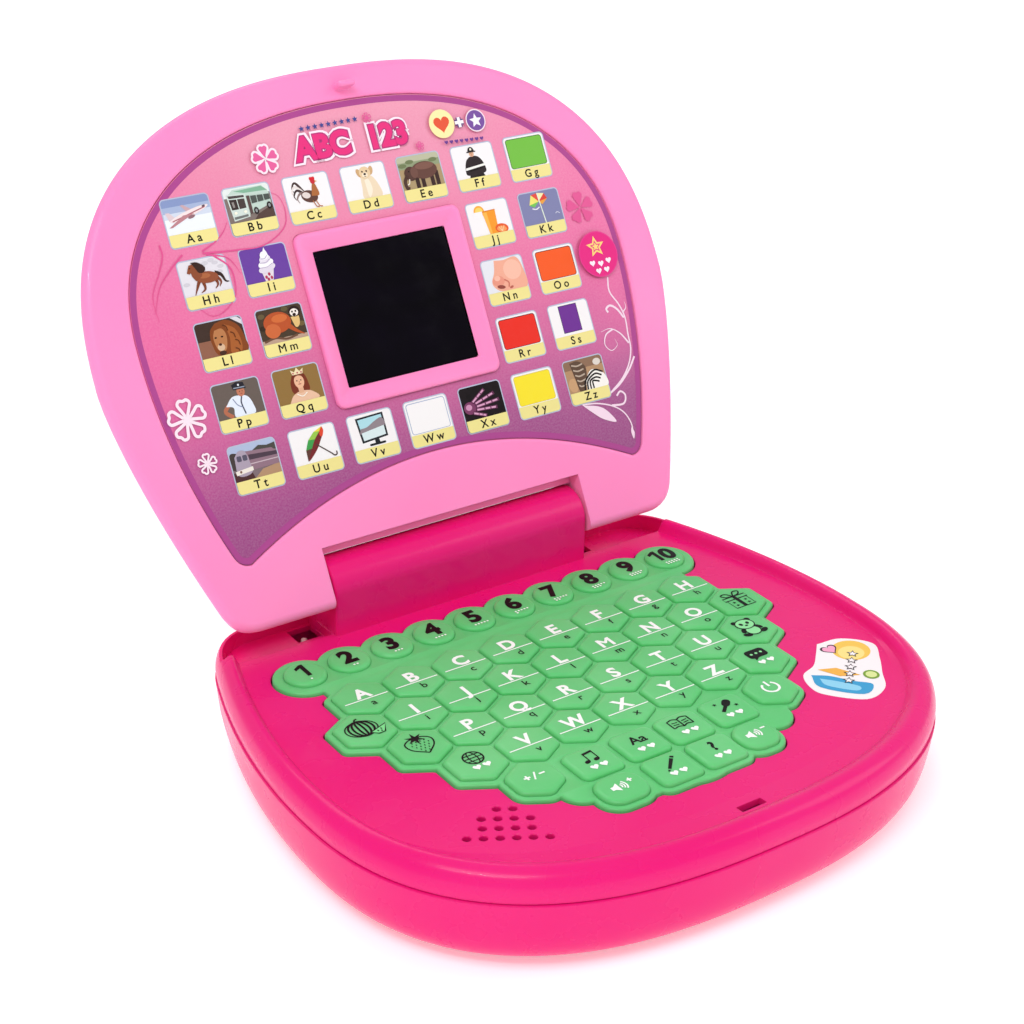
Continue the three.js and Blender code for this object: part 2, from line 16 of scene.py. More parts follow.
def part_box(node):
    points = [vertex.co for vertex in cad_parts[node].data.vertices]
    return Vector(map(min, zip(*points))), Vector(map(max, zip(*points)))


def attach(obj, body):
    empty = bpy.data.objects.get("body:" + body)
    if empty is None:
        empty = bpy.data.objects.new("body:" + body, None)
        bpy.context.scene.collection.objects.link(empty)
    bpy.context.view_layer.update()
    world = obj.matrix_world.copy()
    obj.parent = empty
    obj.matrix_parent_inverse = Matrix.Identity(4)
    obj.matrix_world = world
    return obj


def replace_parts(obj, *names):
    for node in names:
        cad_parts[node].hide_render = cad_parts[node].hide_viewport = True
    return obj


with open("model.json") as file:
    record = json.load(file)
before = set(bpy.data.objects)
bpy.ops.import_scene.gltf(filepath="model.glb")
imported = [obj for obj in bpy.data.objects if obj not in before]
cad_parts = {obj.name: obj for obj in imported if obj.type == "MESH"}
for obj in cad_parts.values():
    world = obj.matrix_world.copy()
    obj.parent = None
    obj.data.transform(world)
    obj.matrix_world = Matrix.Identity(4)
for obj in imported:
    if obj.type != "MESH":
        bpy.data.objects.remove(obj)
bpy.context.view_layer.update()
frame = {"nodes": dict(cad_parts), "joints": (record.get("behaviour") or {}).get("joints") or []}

# ---------------------------------------------------------------- driving dimensions

MM = 0.001
PITCH = 18.0  # between two letter keys in a row
BEYOND = 120  # past every part, for boxes that cut right through

# Heights of the base above the table.
SEAM = 26.0
PANEL = 31.6
MAT_TOP = 32.7
REAR_WALL_TOP = 33.6
KEY_TOP = 34.0
RIM = 35.5
KEY_FOOT = 28.9
COVER_WALL = 2.0

hinge = next(joint for joint in frame["joints"] if joint["name"] == "lid_hinge")
HINGE_Y = hinge["pos_m"][1] / MM
HINGE_Z = hinge["pos_m"][2] / MM
OPEN_ANGLE = math.radians(hinge["range_deg"][1])
BARREL_RADIUS = 9.4
BARREL_HALF = 2.75 * PITCH
NOTCH_HALF = 2.8 * PITCH
NOTCH_RUN = 11.8
BACK_NOTCH_RUN = 9.6  # the back shell comes closer to the barrel
PIN_HOLE_RADIUS = 2.8
POCKET_FRONT = 7  # from the hinge axis to the front of each ear's pocket
EAR_GAP = 0.4
LID_TURN = Matrix.Rotation(math.pi - OPEN_ANGLE, 4, "X")
LID_PLACE = Matrix.Translation((0, HINGE_Y * MM, HINGE_Z * MM)) @ LID_TURN

# Heights across the lid, from the hinge axis towards the user's side.
LID_FACE = 9.6
LID_SEAM = 3.6
CARD_FACE = 8.7
FRAME_TOP = 10.4
LATCH_RUN = 155.0
LATCH_SLOT = (4.5, 1.5)  # half its width and half its depth
LATCH_NUB = (3.2, 1.1)

# The keypad's number row and letter rows are where the CAD has them.
first_number = sum(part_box("number_key_1"), Vector()) / 2 / MM
first_row = sum(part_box("letter_key_row_1"), Vector()) / 2 / MM
NUMBER_Y = first_number.y
FIRST_ROW_Y = first_row.y
KEYPAD_Y = FIRST_ROW_Y - 0.11 * PITCH

# Plans of the shells, in key pitches from the hinge axis; end and corner are in millimetres.
BASE = dict(half=5.88, centre=4.5778, reach=4.77, power=2.5, taper=0.0535, taper_power=1.89, end=-11,
            corner=16)
LID = dict(half=6, centre=4.144, reach=4.88, power=2.48, taper=0.1526, taper_power=1.39, end=-7.8, corner=9)
CARD = dict(half=5.16, centre=4.644, reach=3.74, power=2.28, taper=0.0559, taper_power=1.935,
            end=0.714 * PITCH, corner=4)
CARD_ARCH = 1.08 * PITCH
SCREEN = dict(half=25.2, low=59.0, high=104.2)
FRAME_WIDTH = 6.3

# The speaker's rows of holes, from the back to the front, beside the middle of the speaker.
GRILLE_ROWS = (2, 4, 4, 6)
GRILLE_STEP = 4.6
GRILLE_TURN = math.radians(-30.2)
GRILLE_SHIFT = (4, 4.4)

# The battery bay in the bottom shell; front and rear are distances from the hinge.
BAY = dict(half=28.5, front=64.6, rear=19.4, roof=19, wall=1.6)
DOOR_THICKNESS = 3.6
DOOR_REAR = 9

# The openings for the display lead beside the barrel; front and rear are from the hinge axis.
LEAD_OPENING = dict(x=54.5, half=4.4, front=-1, rear=7, bottom=20, top=30)

# How far the mat reaches round its keys, in key pitches.
HEX_LOBE = 0.68
ROUND_LOBE = 0.57
SQUARE_MARGIN = 0.1
MAT_FILLERS = ((1.02, -4.3, 0.5), (1.95, -4.0, 0.42))  # x, y and radius, right and left

# ---------------------------------------------------------------- the camera, at the photograph's angle

CAMERA_PLACE = (-0.3366, -0.4657, 0.3663)
CAMERA_HEADING = math.radians(35.288)  # from +Y towards +X
CAMERA_PITCH = math.radians(-26.646)
CAMERA_ROLL = math.radians(1.112)


def make_camera():
    data = bpy.data.cameras.new("camera")
    data.sensor_width = 36
    data.lens = 72.75
    data.clip_start = 0.01
    camera = bpy.data.objects.new("camera", data)
    bpy.context.collection.objects.link(camera)
    heading = Matrix.Rotation(-CAMERA_HEADING, 4, "Z")
    pitch = Matrix.Rotation(math.pi / 2 + CAMERA_PITCH, 4, "X")
    roll = Matrix.Rotation(CAMERA_ROLL, 4, "Z")
    camera.matrix_world = Matrix.Translation(CAMERA_PLACE) @ heading @ pitch @ roll
    bpy.context.scene.camera = camera


make_camera()

# ---------------------------------------------------------------- colours


def linear(code):
    """A hex colour as linear red, green and blue."""
    channels = [int(code[i : i + 2], 16) / 255 for i in (0, 2, 4)]
    return tuple(c / 12.92 if c <= 0.04045 else ((c + 0.055) / 1.055) ** 2.4 for c in channels)


BASE_PINK = "e61074"
LID_PINK = "ff8ac3"
SILICONE = "5cc474"
LIT_SILICONE = "8fe09c"  # inside symbols drawn in outline
INK_WHITE = "f6f8f4"
INK_BLACK = "0b0b0c"

# ---------------------------------------------------------------- plain outlines in the plane


def ellipse(x, y, rx, ry=None, steps=28, turn=0.0, start=0.0, end=2 * math.pi):
    """Points round an ellipse, or along part of one; a whole one has no repeated point."""
    ry = rx if ry is None else ry
    whole = abs(end - start - 2 * math.pi) < 1e-6
    count = steps if whole else steps + 1
    points = []
    for i in range(count):
        angle = start + (end - start) * i / steps
        px, py = rx * math.cos(angle), ry * math.sin(angle)
        points.append((x + px * math.cos(turn) - py * math.sin(turn),
                       y + px * math.sin(turn) + py * math.cos(turn)))
    return points


def rectangle(x0, x1, y0, y1):
    return [(x0, y0), (x1, y0), (x1, y1), (x0, y1)]


def swollen(points, radius, steps=6):
    """The outline at that distance round a convex polygon, or the circle round a single point."""
    if len(points) == 1:
        return ellipse(*points[0], radius, steps=8 * steps)
    outline = []
    for i, (x, y) in enumerate(points):
        x0, y0 = points[i - 1]
        x1, y1 = points[(i + 1) % len(points)]
        start = math.atan2(y - y0, x - x0) - math.pi / 2
        bend = (math.atan2(y1 - y, x1 - x) - math.pi / 2 - start) % (2 * math.pi)
        for k in range(steps + 1):
            angle = start + bend * k / steps
            outline.append((x + radius * math.cos(angle), y + radius * math.sin(angle)))
    return outline


def rounded_rectangle(x0, x1, y0, y1, radius):
    return swollen(rectangle(x0 + radius, x1 - radius, y0 + radius, y1 - radius), radius)


def curve_through(points, steps=8):
    """A smooth line through a few points of any dimension."""
    rows = np.array(points, float)
    rows = np.vstack([2 * rows[0] - rows[1], rows, 2 * rows[-1] - rows[-2]])
    line = []
    for i in range(1, len(rows) - 2):
        a, b, c, d = rows[i - 1 : i + 3]
        bend = 2 * a - 5 * b + 4 * c - d
        twist = 3 * b - a - 3 * c + d
        for k in range(steps):
            t = k / steps
            line.append((2 * b + (c - a) * t + bend * t**2 + twist * t**3) / 2)
    line.append(rows[-2])
    return [tuple(p) for p in line]


def dense(points, step):
    """The same closed outline with points about step apart."""
    corners = np.array(points + points[:1], float)
    lengths = np.linalg.norm(np.diff(corners, axis=0), axis=1)
    along = np.concatenate([[0], np.cumsum(lengths)])
    count = max(3, round(along[-1] / step))
    stops = np.arange(count) * along[-1] / count
    return np.column_stack([np.interp(stops, along, corners[:, axis]) for axis in (0, 1)])


def distance_to(polygon, points):
    """Distance from each point to a convex polygon, negative inside."""
    start = np.array(polygon, float)
    if len(start) == 1:
        return np.linalg.norm(points - start[0], axis=1)
    edge = np.roll(start, -1, axis=0) - start
    offset = points[:, None, :] - start[None]
    share = np.clip((offset * edge).sum(2) / (edge * edge).sum(1), 0, 1)
    gap = np.linalg.norm(offset - share[:, :, None] * edge, axis=2).min(axis=1)
    side = edge[:, 0] * offset[:, :, 1] - edge[:, 1] * offset[:, :, 0]
    return np.where((side >= 0).all(axis=1), -gap, gap)


def joined_outline(lobes):
    """One outline round overlapping lobes, each a convex polygon and a radius round it."""
    step = 0.45
    edges = []
    for i, (polygon, radius) in enumerate(lobes):
        points = dense(swollen(polygon, radius, 12), step)
        outside = np.ones(len(points), bool)
        for j, (other, other_radius) in enumerate(lobes):
            if i != j:
                outside &= distance_to(other, points) > other_radius - 1e-6
        edges.append(points[outside])
    loose = np.vstack(edges)
    current = int(loose[:, 0].argmax())
    unused = np.ones(len(loose), bool)
    chain = []
    while True:
        chain.append(tuple(loose[current]))
        unused[current] = False
        gaps = np.where(unused, np.linalg.norm(loose - loose[current], axis=1), np.inf)
        current = int(gaps.argmin())
        if gaps[current] > 5 * step:
            break
    outline = dense(chain, step)
    return outline if area(outline) > 0 else outline[::-1]


def area(points):
    x, y = np.array(points, float).T
    return float((x * np.roll(y, -1) - np.roll(x, -1) * y).sum() / 2)


def shrunk(points, distance):
    """A closed counter-clockwise outline moved inwards along its normals."""
    points = np.array(points, float)
    along = np.roll(points, -1, axis=0) - np.roll(points, 1, axis=0)
    along /= np.linalg.norm(along, axis=1)[:, None]
    return points + distance * np.column_stack([-along[:, 1], along[:, 0]])


# ---------------------------------------------------------------- shell outlines

TIP_STEPS = 44
SIDE_STEPS = 14
CORNER_STEPS = 10


def shell_half(shell, inset, tip_inset, end_inset):
    """Half of a shell's plan in (x, run), from its far tip round to the middle of its hinge end."""
    half = shell["half"] * PITCH - inset
    centre = shell["centre"] * PITCH
    reach = shell["reach"] * PITCH - tip_inset
    power = 2 / shell["power"]
    points = []
    for i in range(TIP_STEPS + 1):
        angle = math.pi / 2 * (1 - i / TIP_STEPS)
        points.append((half * max(math.cos(angle), 0) ** power,
                       centre + reach * max(math.sin(angle), 0) ** power))
    points[0] = (0.0, centre + reach)
    end = shell["end"] + end_inset
    corner = max(shell["corner"] - inset, 2)
    length = centre - end - corner

    def side(distance):
        return half - shell["taper"] * PITCH * (distance / PITCH) ** shell["taper_power"]

    for i in range(1, SIDE_STEPS + 1):
        points.append((side(length * i / SIDE_STEPS), centre - length * i / SIDE_STEPS))
    x, y = points[-1]
    lean = (side(length - 1) - side(length)) * corner
    for i in range(1, CORNER_STEPS + 1):
        t = i / CORNER_STEPS
        weights = ((1 - t) ** 2, 2 * t * (1 - t), t * t)
        points.append((
            weights[0] * x + weights[1] * (x - lean) + weights[2] * (x - lean - corner),
            weights[0] * y + (weights[1] + weights[2]) * end,
        ))
    return points


def shell_plan(shell, inset=0.0, tip_inset=None, end_inset=None):
    """A shell's whole plan, counter-clockwise in (x, run)."""
    half = shell_half(shell, inset, inset if tip_inset is None else tip_inset,
                      inset if end_inset is None else end_inset)
    return [(-x, y) for x, y in half[1:]] + half[::-1]


def base_ring(z, inset=0.0, tip_inset=None):
    return [(x, HINGE_Y - run, z) for x, run in shell_plan(BASE, inset, tip_inset)][::-1]


def lid_ring(height, inset=0.0, end_inset=None):
    return [(x, run, height) for x, run in shell_plan(LID, inset, end_inset=end_inset)]


def card_plan(inset=0.0):
    """The printed card's plan: a shell with an arched lower edge."""
    lowest = CARD["end"] + inset
    steps = 48
    plan = []
    full = shell_plan(CARD, inset)
    for i, (x, run) in enumerate(full):
        plan.append((x, run))
        next_x, next_run = full[(i + 1) % len(full)]
        if run < lowest + 1e-6 and next_run < lowest + 1e-6:
            for k in range(1, steps):
                across = x + (next_x - x) * k / steps
                plan.append((across, lowest + CARD_ARCH * (1 - (across / x) ** 2)))
    return plan


def flat_ring(points, height):
    return [(x, y, height) for x, y in points]


# ---------------------------------------------------------------- meshes


class Build:
    """A mesh being put together: points in millimetres, and each face's material and ink."""

    def __init__(self):
        self.vertices = []
        self.faces = []
        self.slots = []
        self.inks = []

    def add(self, vertices, faces, slot=0, ink="ffffff"):
        start = len(self.vertices)
        self.vertices += [tuple(v) for v in vertices]
        self.faces += [tuple(start + i for i in face) for face in faces]
        self.slots += [slot] * len(faces)
        self.inks += [ink] * len(faces)
        return self

    def loft(self, rings, closed=False, slot=0, ink="ffffff"):
        """A skin through rings of as many points each, with flat ends or joined back to its start."""
        count = len(rings[0])
        vertices = [p for ring in rings for p in ring]
        levels = len(rings) if closed else len(rings) - 1
        faces = []
        for level in range(levels):
            for i in range(count):
                a = level * count + i
                b = level * count + (i + 1) % count
                up = count if level + 1 < len(rings) else -level * count
                faces.append((a, b, b + up, a + up))
        if not closed:
            faces.append(tuple(reversed(range(count))))
            faces.append(tuple(range((len(rings) - 1) * count, len(rings) * count)))
        return self.add(vertices, faces, slot, ink)

    def plate(self, outer, holes):
        """A closed plate from rings that rise from its underside to its top, outside and in each hole."""
        vertices = []
        faces = []
        top_loops = []
        bottom_loops = []
        for k, rings in enumerate([outer, *holes]):
            count = len(rings[0])
            start = len(vertices)
            vertices += [p for ring in rings for p in ring]
            for level in range(len(rings) - 1):
                for i in range(count):
                    a = start + level * count + i
                    b = start + level * count + (i + 1) % count
                    face = (a, b, b + count, a + count)
                    faces.append(face if k == 0 else face[::-1])
            bottom_loops.append(list(range(start, start + count)))
            top_loops.append(list(range(start + (len(rings) - 1) * count, start + len(rings) * count)))
        for loops, up in ((top_loops, 1), (bottom_loops, -1)):
            order = [i for loop in loops for i in loop]
            for triangle in tessellate_polygon([[Vector(vertices[i]) for i in loop] for loop in loops]):
                corners = [order[i] for i in triangle]
                if area([vertices[i][:2] for i in corners]) * up < 0:
                    corners.reverse()
                faces.append(tuple(corners))
        return self.add(vertices, faces)

    def shape(self, loops, height, ink):
        """A flat printed shape from its outline and any holes in it."""
        points = [p for loop in loops for p in loop]
        triangles = []
        for triangle in tessellate_polygon([[Vector((x, y, 0)) for x, y in loop] for loop in loops]):
            up = area([points[i] for i in triangle]) > 0
            triangles.append(tuple(triangle) if up else tuple(reversed(triangle)))
        return self.add(flat_ring(points, height), triangles, PRINT_SLOT, ink)

    def piece(self, name, materials, place=None, crease=32):
        mesh = bpy.data.meshes.new(name)
        mesh.from_pydata([tuple(MM * c for c in v) for v in self.vertices], [], self.faces)
        for material in materials:
            mesh.materials.append(material)
        mesh.polygons.foreach_set("material_index", self.slots)
        if len(materials) > 1 or materials[0].name == "print_ink":
            paint = mesh.color_attributes.new("ink", "FLOAT_COLOR", "CORNER")
            for face, ink in zip(mesh.polygons, self.inks):
                for corner in face.loop_indices:
                    paint.data[corner].color = (*linear(ink), 1)
        shade(mesh, crease)
        obj = bpy.data.objects.new(name, mesh)
        bpy.context.collection.objects.link(obj)
        if place is not None:
            obj.matrix_world = place
        return obj


def shade(mesh, crease=32):
    """Smooth shading that breaks at edges sharper than crease degrees."""
    mesh.shade_smooth()
    mesh.set_sharp_from_angle(angle=math.radians(crease))


def tool(rings):
    """A closed solid used to add to or cut another."""
    return Build().loft(rings).piece("tool", [tool_material])


def prism(points, bottom, top):
    return tool([flat_ring(points, bottom), flat_ring(points, top)])


def block(x0, x1, y0, y1, z0, z1):
    return prism(rectangle(x0, x1, y0, y1), z0, z1)


def post(x, y, radius, bottom, top):
    return prism(ellipse(x, y, radius), bottom, top)


def pin_hole(y, z):
    """The round hole along X for both hinge pins."""
    circle = ellipse(y, z, PIN_HOLE_RADIUS, steps=24)
    return tool([[(x, py, pz) for py, pz in circle] for x in (-60, 60)])


def combine(obj, steps):
    """Adds tools to obj, or cuts them from it, one after another."""
    tools = []
    for operation, parts in steps:
        for part in parts:
            change = obj.modifiers.new("combine", "BOOLEAN")
            change.operation = operation
            change.object = part
            change.solver = "MANIFOLD"
            tools.append(part)
    graph = bpy.context.evaluated_depsgraph_get()
    mesh = bpy.data.meshes.new_from_object(obj.evaluated_get(graph))
    obj.modifiers.clear()
    obj.data = mesh
    shade(mesh)
    for part in tools:
        bpy.data.objects.remove(part)
    return obj


def even_shading(obj):
    """Lets large flat faces rule the shading where they meet small curved ones."""
    weigh = obj.modifiers.new("weigh", "WEIGHTED_NORMAL")
    weigh.keep_sharp = True
    weigh.weight = 100
    return obj


# ---------------------------------------------------------------- materials


def start_material(name, settings):
    material = bpy.data.materials.new(name)
    material.use_nodes = True
    tree = material.node_tree
    shader = tree.nodes["Principled BSDF"]
    for socket, value in settings.items():
        shader.inputs[socket].default_value = value
    return material, tree, shader


def node(tree, kind, settings=None, links=None, **options):
    made = tree.nodes.new(kind)
    for option, value in options.items():
        setattr(made, option, value)
    for socket, value in (settings or {}).items():
        made.inputs[socket].default_value = value
    for socket, source in (links or {}).items():
        tree.links.new(source, made.inputs[socket])
    return made


def noise(tree, where, scale, detail=3.0, distortion=0.0):
    settings = {"Scale": scale, "Detail": detail, "Distortion": distortion}
    return node(tree, "ShaderNodeTexNoise", settings, {"Vector": where}).outputs["Fac"]


def spread(tree, value, low, high, out_low=0.0, out_high=1.0):
    """A value between low and high stretched to another range."""
    settings = {"From Min": low, "From Max": high, "To Min": out_low, "To Max": out_high}
    return node(tree, "ShaderNodeMapRange", settings, {"Value": value}).outputs["Result"]


def blend_colours(tree, first, second, factor):
    """Two colours, or a colour and a node's output, mixed by a factor."""
    mix = node(tree, "ShaderNodeMix", data_type="RGBA")
    tree.links.new(factor, mix.inputs["Factor"])
    for socket, colour in ((mix.inputs[6], first), (mix.inputs[7], second)):
        if isinstance(colour, tuple):
            socket.default_value = (*colour, 1)
        else:
            tree.links.new(colour, socket)
    return mix.outputs[2]


def object_place(tree):
    return node(tree, "ShaderNodeTexCoord").outputs["Object"]


def set_surface(tree, shader, colour, roughness):
    tree.links.new(colour, shader.inputs["Base Color"])
    tree.links.new(roughness, shader.inputs["Roughness"])


def bump(tree, shader, height, strength, distance, edge_radius=0.0):
    links = {"Height": height}
    if edge_radius:
        edges = node(tree, "ShaderNodeBevel", {"Radius": edge_radius}, samples=4)
        links["Normal"] = edges.outputs["Normal"]
    made = node(tree, "ShaderNodeBump", {"Strength": strength, "Distance": distance}, links)
    tree.links.new(made.outputs["Normal"], shader.inputs["Normal"])


def moulded_plastic(name, colour, flow_colour, roughness, coat, flow=0.2, grain=0.05):
    """Injection-moulded plastic: faint flow marks, uneven gloss and softened edges."""
    settings = {"Coat Weight": coat, "Coat Roughness": 0.06, "IOR": 1.5, "Specular IOR Level": 0.16,
                "Subsurface Weight": 0.08, "Subsurface Scale": 0.002}
    material, tree, shader = start_material(name, settings)
    where = object_place(tree)
    marks = noise(tree, where, 12, 2, 0.6)
    tint = blend_colours(tree, linear(colour), linear(flow_colour), spread(tree, marks, 0.4, 0.8, 0, flow))
    handling = noise(tree, where, 70, 4)
    set_surface(tree, shader, tint, spread(tree, handling, 0.3, 0.75, roughness - 0.03, roughness + 0.07))
    bump(tree, shader, noise(tree, where, 1400, 2), grain, 0.0002, 0.0004)
    return material


def silicone(name):
    """Moulded silicone that lets some light through, with a skin of very fine dust."""
    settings = {"Subsurface Weight": 0.45, "Subsurface Radius": (0.6, 1.0, 0.6), "Subsurface Scale": 0.0035,
                "IOR": 1.42, "Sheen Weight": 0.08, "Sheen Roughness": 0.5}
    material, tree, shader = start_material(name, settings)
    where = object_place(tree)
    cloud = noise(tree, where, 40, 4)
    tint = blend_colours(tree, linear(SILICONE), linear("8ad896"), spread(tree, cloud, 0.4, 0.75, 0, 0.35))
    dust = noise(tree, where, 260, 5)
    set_surface(tree, shader, tint, spread(tree, dust, 0.35, 0.7, 0.32, 0.46))
    bump(tree, shader, noise(tree, where, 1800, 3), 0.08, 0.0002)
    return material


def print_ink(name):
    """Screen-printed ink whose colour is stored on each printed face, thin in places."""
    material, tree, shader = start_material(name, {"Specular IOR Level": 0.12})
    where = object_place(tree)
    colour = node(tree, "ShaderNodeVertexColor", layer_name="ink").outputs["Color"]
    thin = spread(tree, noise(tree, where, 500, 4), 0.35, 0.8, 0, 0.012)
    tint = blend_colours(tree, colour, linear("c8a8b8"), thin)
    gloss = noise(tree, where, 220, 3)
    set_surface(tree, shader, tint, spread(tree, gloss, 0.3, 0.7, 0.3, 0.45))
    bump(tree, shader, noise(tree, where, 2500, 2), 0.06, 0.0001)
    return material


def card_paper(name):
    """The card's printed ground: dusty pink above, purple below, under a clear film."""
    settings = {"Coat Weight": 0.12, "Coat Roughness": 0.12, "Specular IOR Level": 0.35}
    material, tree, shader = start_material(name, settings)
    where = object_place(tree)
    split = node(tree, "ShaderNodeSeparateXYZ", links={"Vector": where})
    drift = noise(tree, where, 14, 3, 1.0)
    wobble = node(tree, "ShaderNodeMath", {1: 0.03}, {0: drift}, operation="MULTIPLY").outputs[0]
    run = node(tree, "ShaderNodeMath", links={0: split.outputs["Y"], 1: wobble}, operation="ADD").outputs[0]
    ramp = node(tree, "ShaderNodeValToRGB", links={"Fac": spread(tree, run, 0.02, 0.16)})
    stops = ((0.0, "8a3277"), (0.18, "9b3d80"), (0.36, "bf528f"), (0.55, "dd6598"), (0.75, "e27aa2"),
             (1.0, "e58fab"))
    while len(ramp.color_ramp.elements) < len(stops):
        ramp.color_ramp.elements.new(0.5)
    for element, (position, colour) in zip(ramp.color_ramp.elements, stops):
        element.position = position
        element.color = (*linear(colour), 1)
    square = node(tree, "ShaderNodeMath", {1: 2.0}, {0: split.outputs["X"]}, operation="POWER").outputs[0]
    side = spread(tree, square, 0.0012, 0.0075, 0, 0.55)
    tint = blend_colours(tree, ramp.outputs["Color"], linear("e4559a"), side)
    low = spread(tree, split.outputs["Y"], 0.045, 0.075)
    tint = blend_colours(tree, ramp.outputs["Color"], tint, low)
    fleck = spread(tree, noise(tree, where, 1600, 2), 0.3, 0.7, 0, 0.06)
    tint = blend_colours(tree, tint, linear("ffffff"), fleck)
    set_surface(tree, shader, tint, spread(tree, noise(tree, where, 90, 3), 0.3, 0.7, 0.3, 0.42))
    bump(tree, shader, noise(tree, where, 900, 2), 0.04, 0.0001)
    return material


def dark_window(name):
    """The display's dark window, glossy, with fine dust and wipe marks."""
    material, tree, shader = start_material(name, {"Specular IOR Level": 0.08})
    where = object_place(tree)
    wipe = spread(tree, noise(tree, where, 30, 4, 1.5), 0.35, 0.75, 0, 0.4)
    tint = blend_colours(tree, linear("030106"), linear("0c0418"), wipe)
    smear = noise(tree, where, 120, 5)
    set_surface(tree, shader, tint, spread(tree, smear, 0.4, 0.8, 0.06, 0.2))
    bump(tree, shader, noise(tree, where, 60, 2), 0.02, 0.0002)
    return material


def metal(name, colour, roughness):
    """Drawn or stamped metal with fine streaks and dull patches."""
    material, tree, shader = start_material(name, {"Metallic": 1.0, "Anisotropic": 0.3})
    where = object_place(tree)
    stretch = node(tree, "ShaderNodeMapping", {"Scale": (0.15, 1, 1)}, {"Vector": where}).outputs["Vector"]
    streaks = noise(tree, stretch, 400, 4)
    patches = spread(tree, noise(tree, where, 90, 4), 0.5, 0.8, 0, 0.5)
    dull = blend_colours(tree, linear(colour), linear("6e6a66"), patches)
    set_surface(tree, shader, dull, spread(tree, streaks, 0.3, 0.7, roughness - 0.08, roughness + 0.12))
    bump(tree, shader, streaks, 0.12, 0.0002)
    return material


def dull_solid(name, colour, other, scale, roughness, strength=0.2):
    """A matt material with mottled colour and a rough skin, for rubber, board, paper and lead covers."""
    material, tree, shader = start_material(name, {})
    where = object_place(tree)
    mottle = spread(tree, noise(tree, where, scale, 5), 0.35, 0.7)
    tint = blend_colours(tree, linear(colour), linear(other), mottle)
    set_surface(tree, shader, tint, spread(tree, mottle, 0, 1, roughness - 0.06, roughness + 0.06))
    bump(tree, shader, noise(tree, where, scale * 8, 3), strength, 0.0003)
    return material


tool_material = bpy.data.materials.new("tool")
base_plastic = moulded_plastic("base_plastic", BASE_PINK, "ee4892", 0.26, 0.12)
lid_plastic = moulded_plastic("lid_plastic", LID_PINK, "ffa6d2", 0.34, 0.1, flow=0.25, grain=0.12)
keypad_silicone = silicone("keypad_silicone")
ink = print_ink("print_ink")
card_print = card_paper("card_ground")
window = dark_window("window")
steel = metal("steel", "b8bcc2", 0.3)
contact_metal = metal("contact_metal", "c9a24a", 0.32)
board = dull_solid("circuit_board", "2f7a44", "1f5c33", 220, 0.42)
rubber = dull_solid("foot_rubber", "3a3a3c", "2a2a2c", 300, 0.75, 0.4)
black_plastic = dull_solid("black_plastic", "1b1b1d", "262629", 260, 0.55)
cell_jacket = dull_solid("cell_jacket", "3b4a8c", "2f3b74", 60, 0.35, 0.05)
lead_cover = dull_solid("lead_cover", "f2efe6", "dcd6c8", 150, 0.5)

# ---------------------------------------------------------------- keypad layout, from the middle of a key


def cad_centre(name):
    low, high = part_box(name)
    return (low.x + high.x) / 2 / MM, (low.y + high.y) / 2 / MM


def hexagon(apothem, radius):
    """A rounded hexagon with a corner towards +Y, as the polygon inside its rounding and the rounding."""
    reach = (apothem - radius) / math.cos(math.pi / 6)
    angles = [math.pi / 6 + i * math.pi / 3 for i in range(6)]
    return [(reach * math.cos(angle), reach * math.sin(angle)) for angle in angles], radius


def soft_square(half_x, half_y, radius):
    return rectangle(radius - half_x, half_x - radius, radius - half_y, half_y - radius), radius


HEX_KEY = hexagon(0.472 * PITCH, 1.8)
ROUND_KEY = ([(0.0, 0.0)], 0.375 * PITCH)
MODE_KEY = soft_square(0.42 * PITCH, 0.39 * PITCH, 2.6)
LOUDER_KEY = soft_square(0.44 * PITCH, 0.37 * PITCH, 0.3 * PITCH)
QUIETER_KEY = soft_square(0.37 * PITCH, 0.37 * PITCH, 0.3 * PITCH)
POWER_KEY = hexagon(0.445 * PITCH, 3.2)

key_forms = {f"number_key_{i}": ROUND_KEY for i in range(1, 11)}
for picture in ("melon", "present", "strawberry", "bear", "first_language", "second_language"):
    key_forms[f"{picture}_key"] = HEX_KEY
for mode in ("music", "letter_mode", "word_mode", "singing", "spelling", "asking"):
    key_forms[f"{mode}_key"] = MODE_KEY
key_forms["volume_up_key"] = LOUDER_KEY
key_forms["volume_down_key"] = QUIETER_KEY
for control in ("plus_minus", "power"):
    key_forms[f"{control}_key"] = POWER_KEY

letter_rows = {"letter_key_row_1": "ABCDEFGH", "letter_key_row_2": "IJKLMNO",
               "letter_key_row_3": "PQRSTU", "letter_key_row_4": "VWXYZ"}


def row_places(name, letters):
    """The middle of each letter key in a row."""
    x, y = cad_centre(name)
    return [(x + (i - (len(letters) - 1) / 2) * PITCH, y) for i in range(len(letters))]


key_spots = [(*cad_centre(name), form) for name, form in key_forms.items()]
for name, letters in letter_rows.items():
    key_spots += [(x, y, HEX_KEY) for x, y in row_places(name, letters)]


def moved(points, x, y):
    return [(px + x, py + y) for px, py in points]


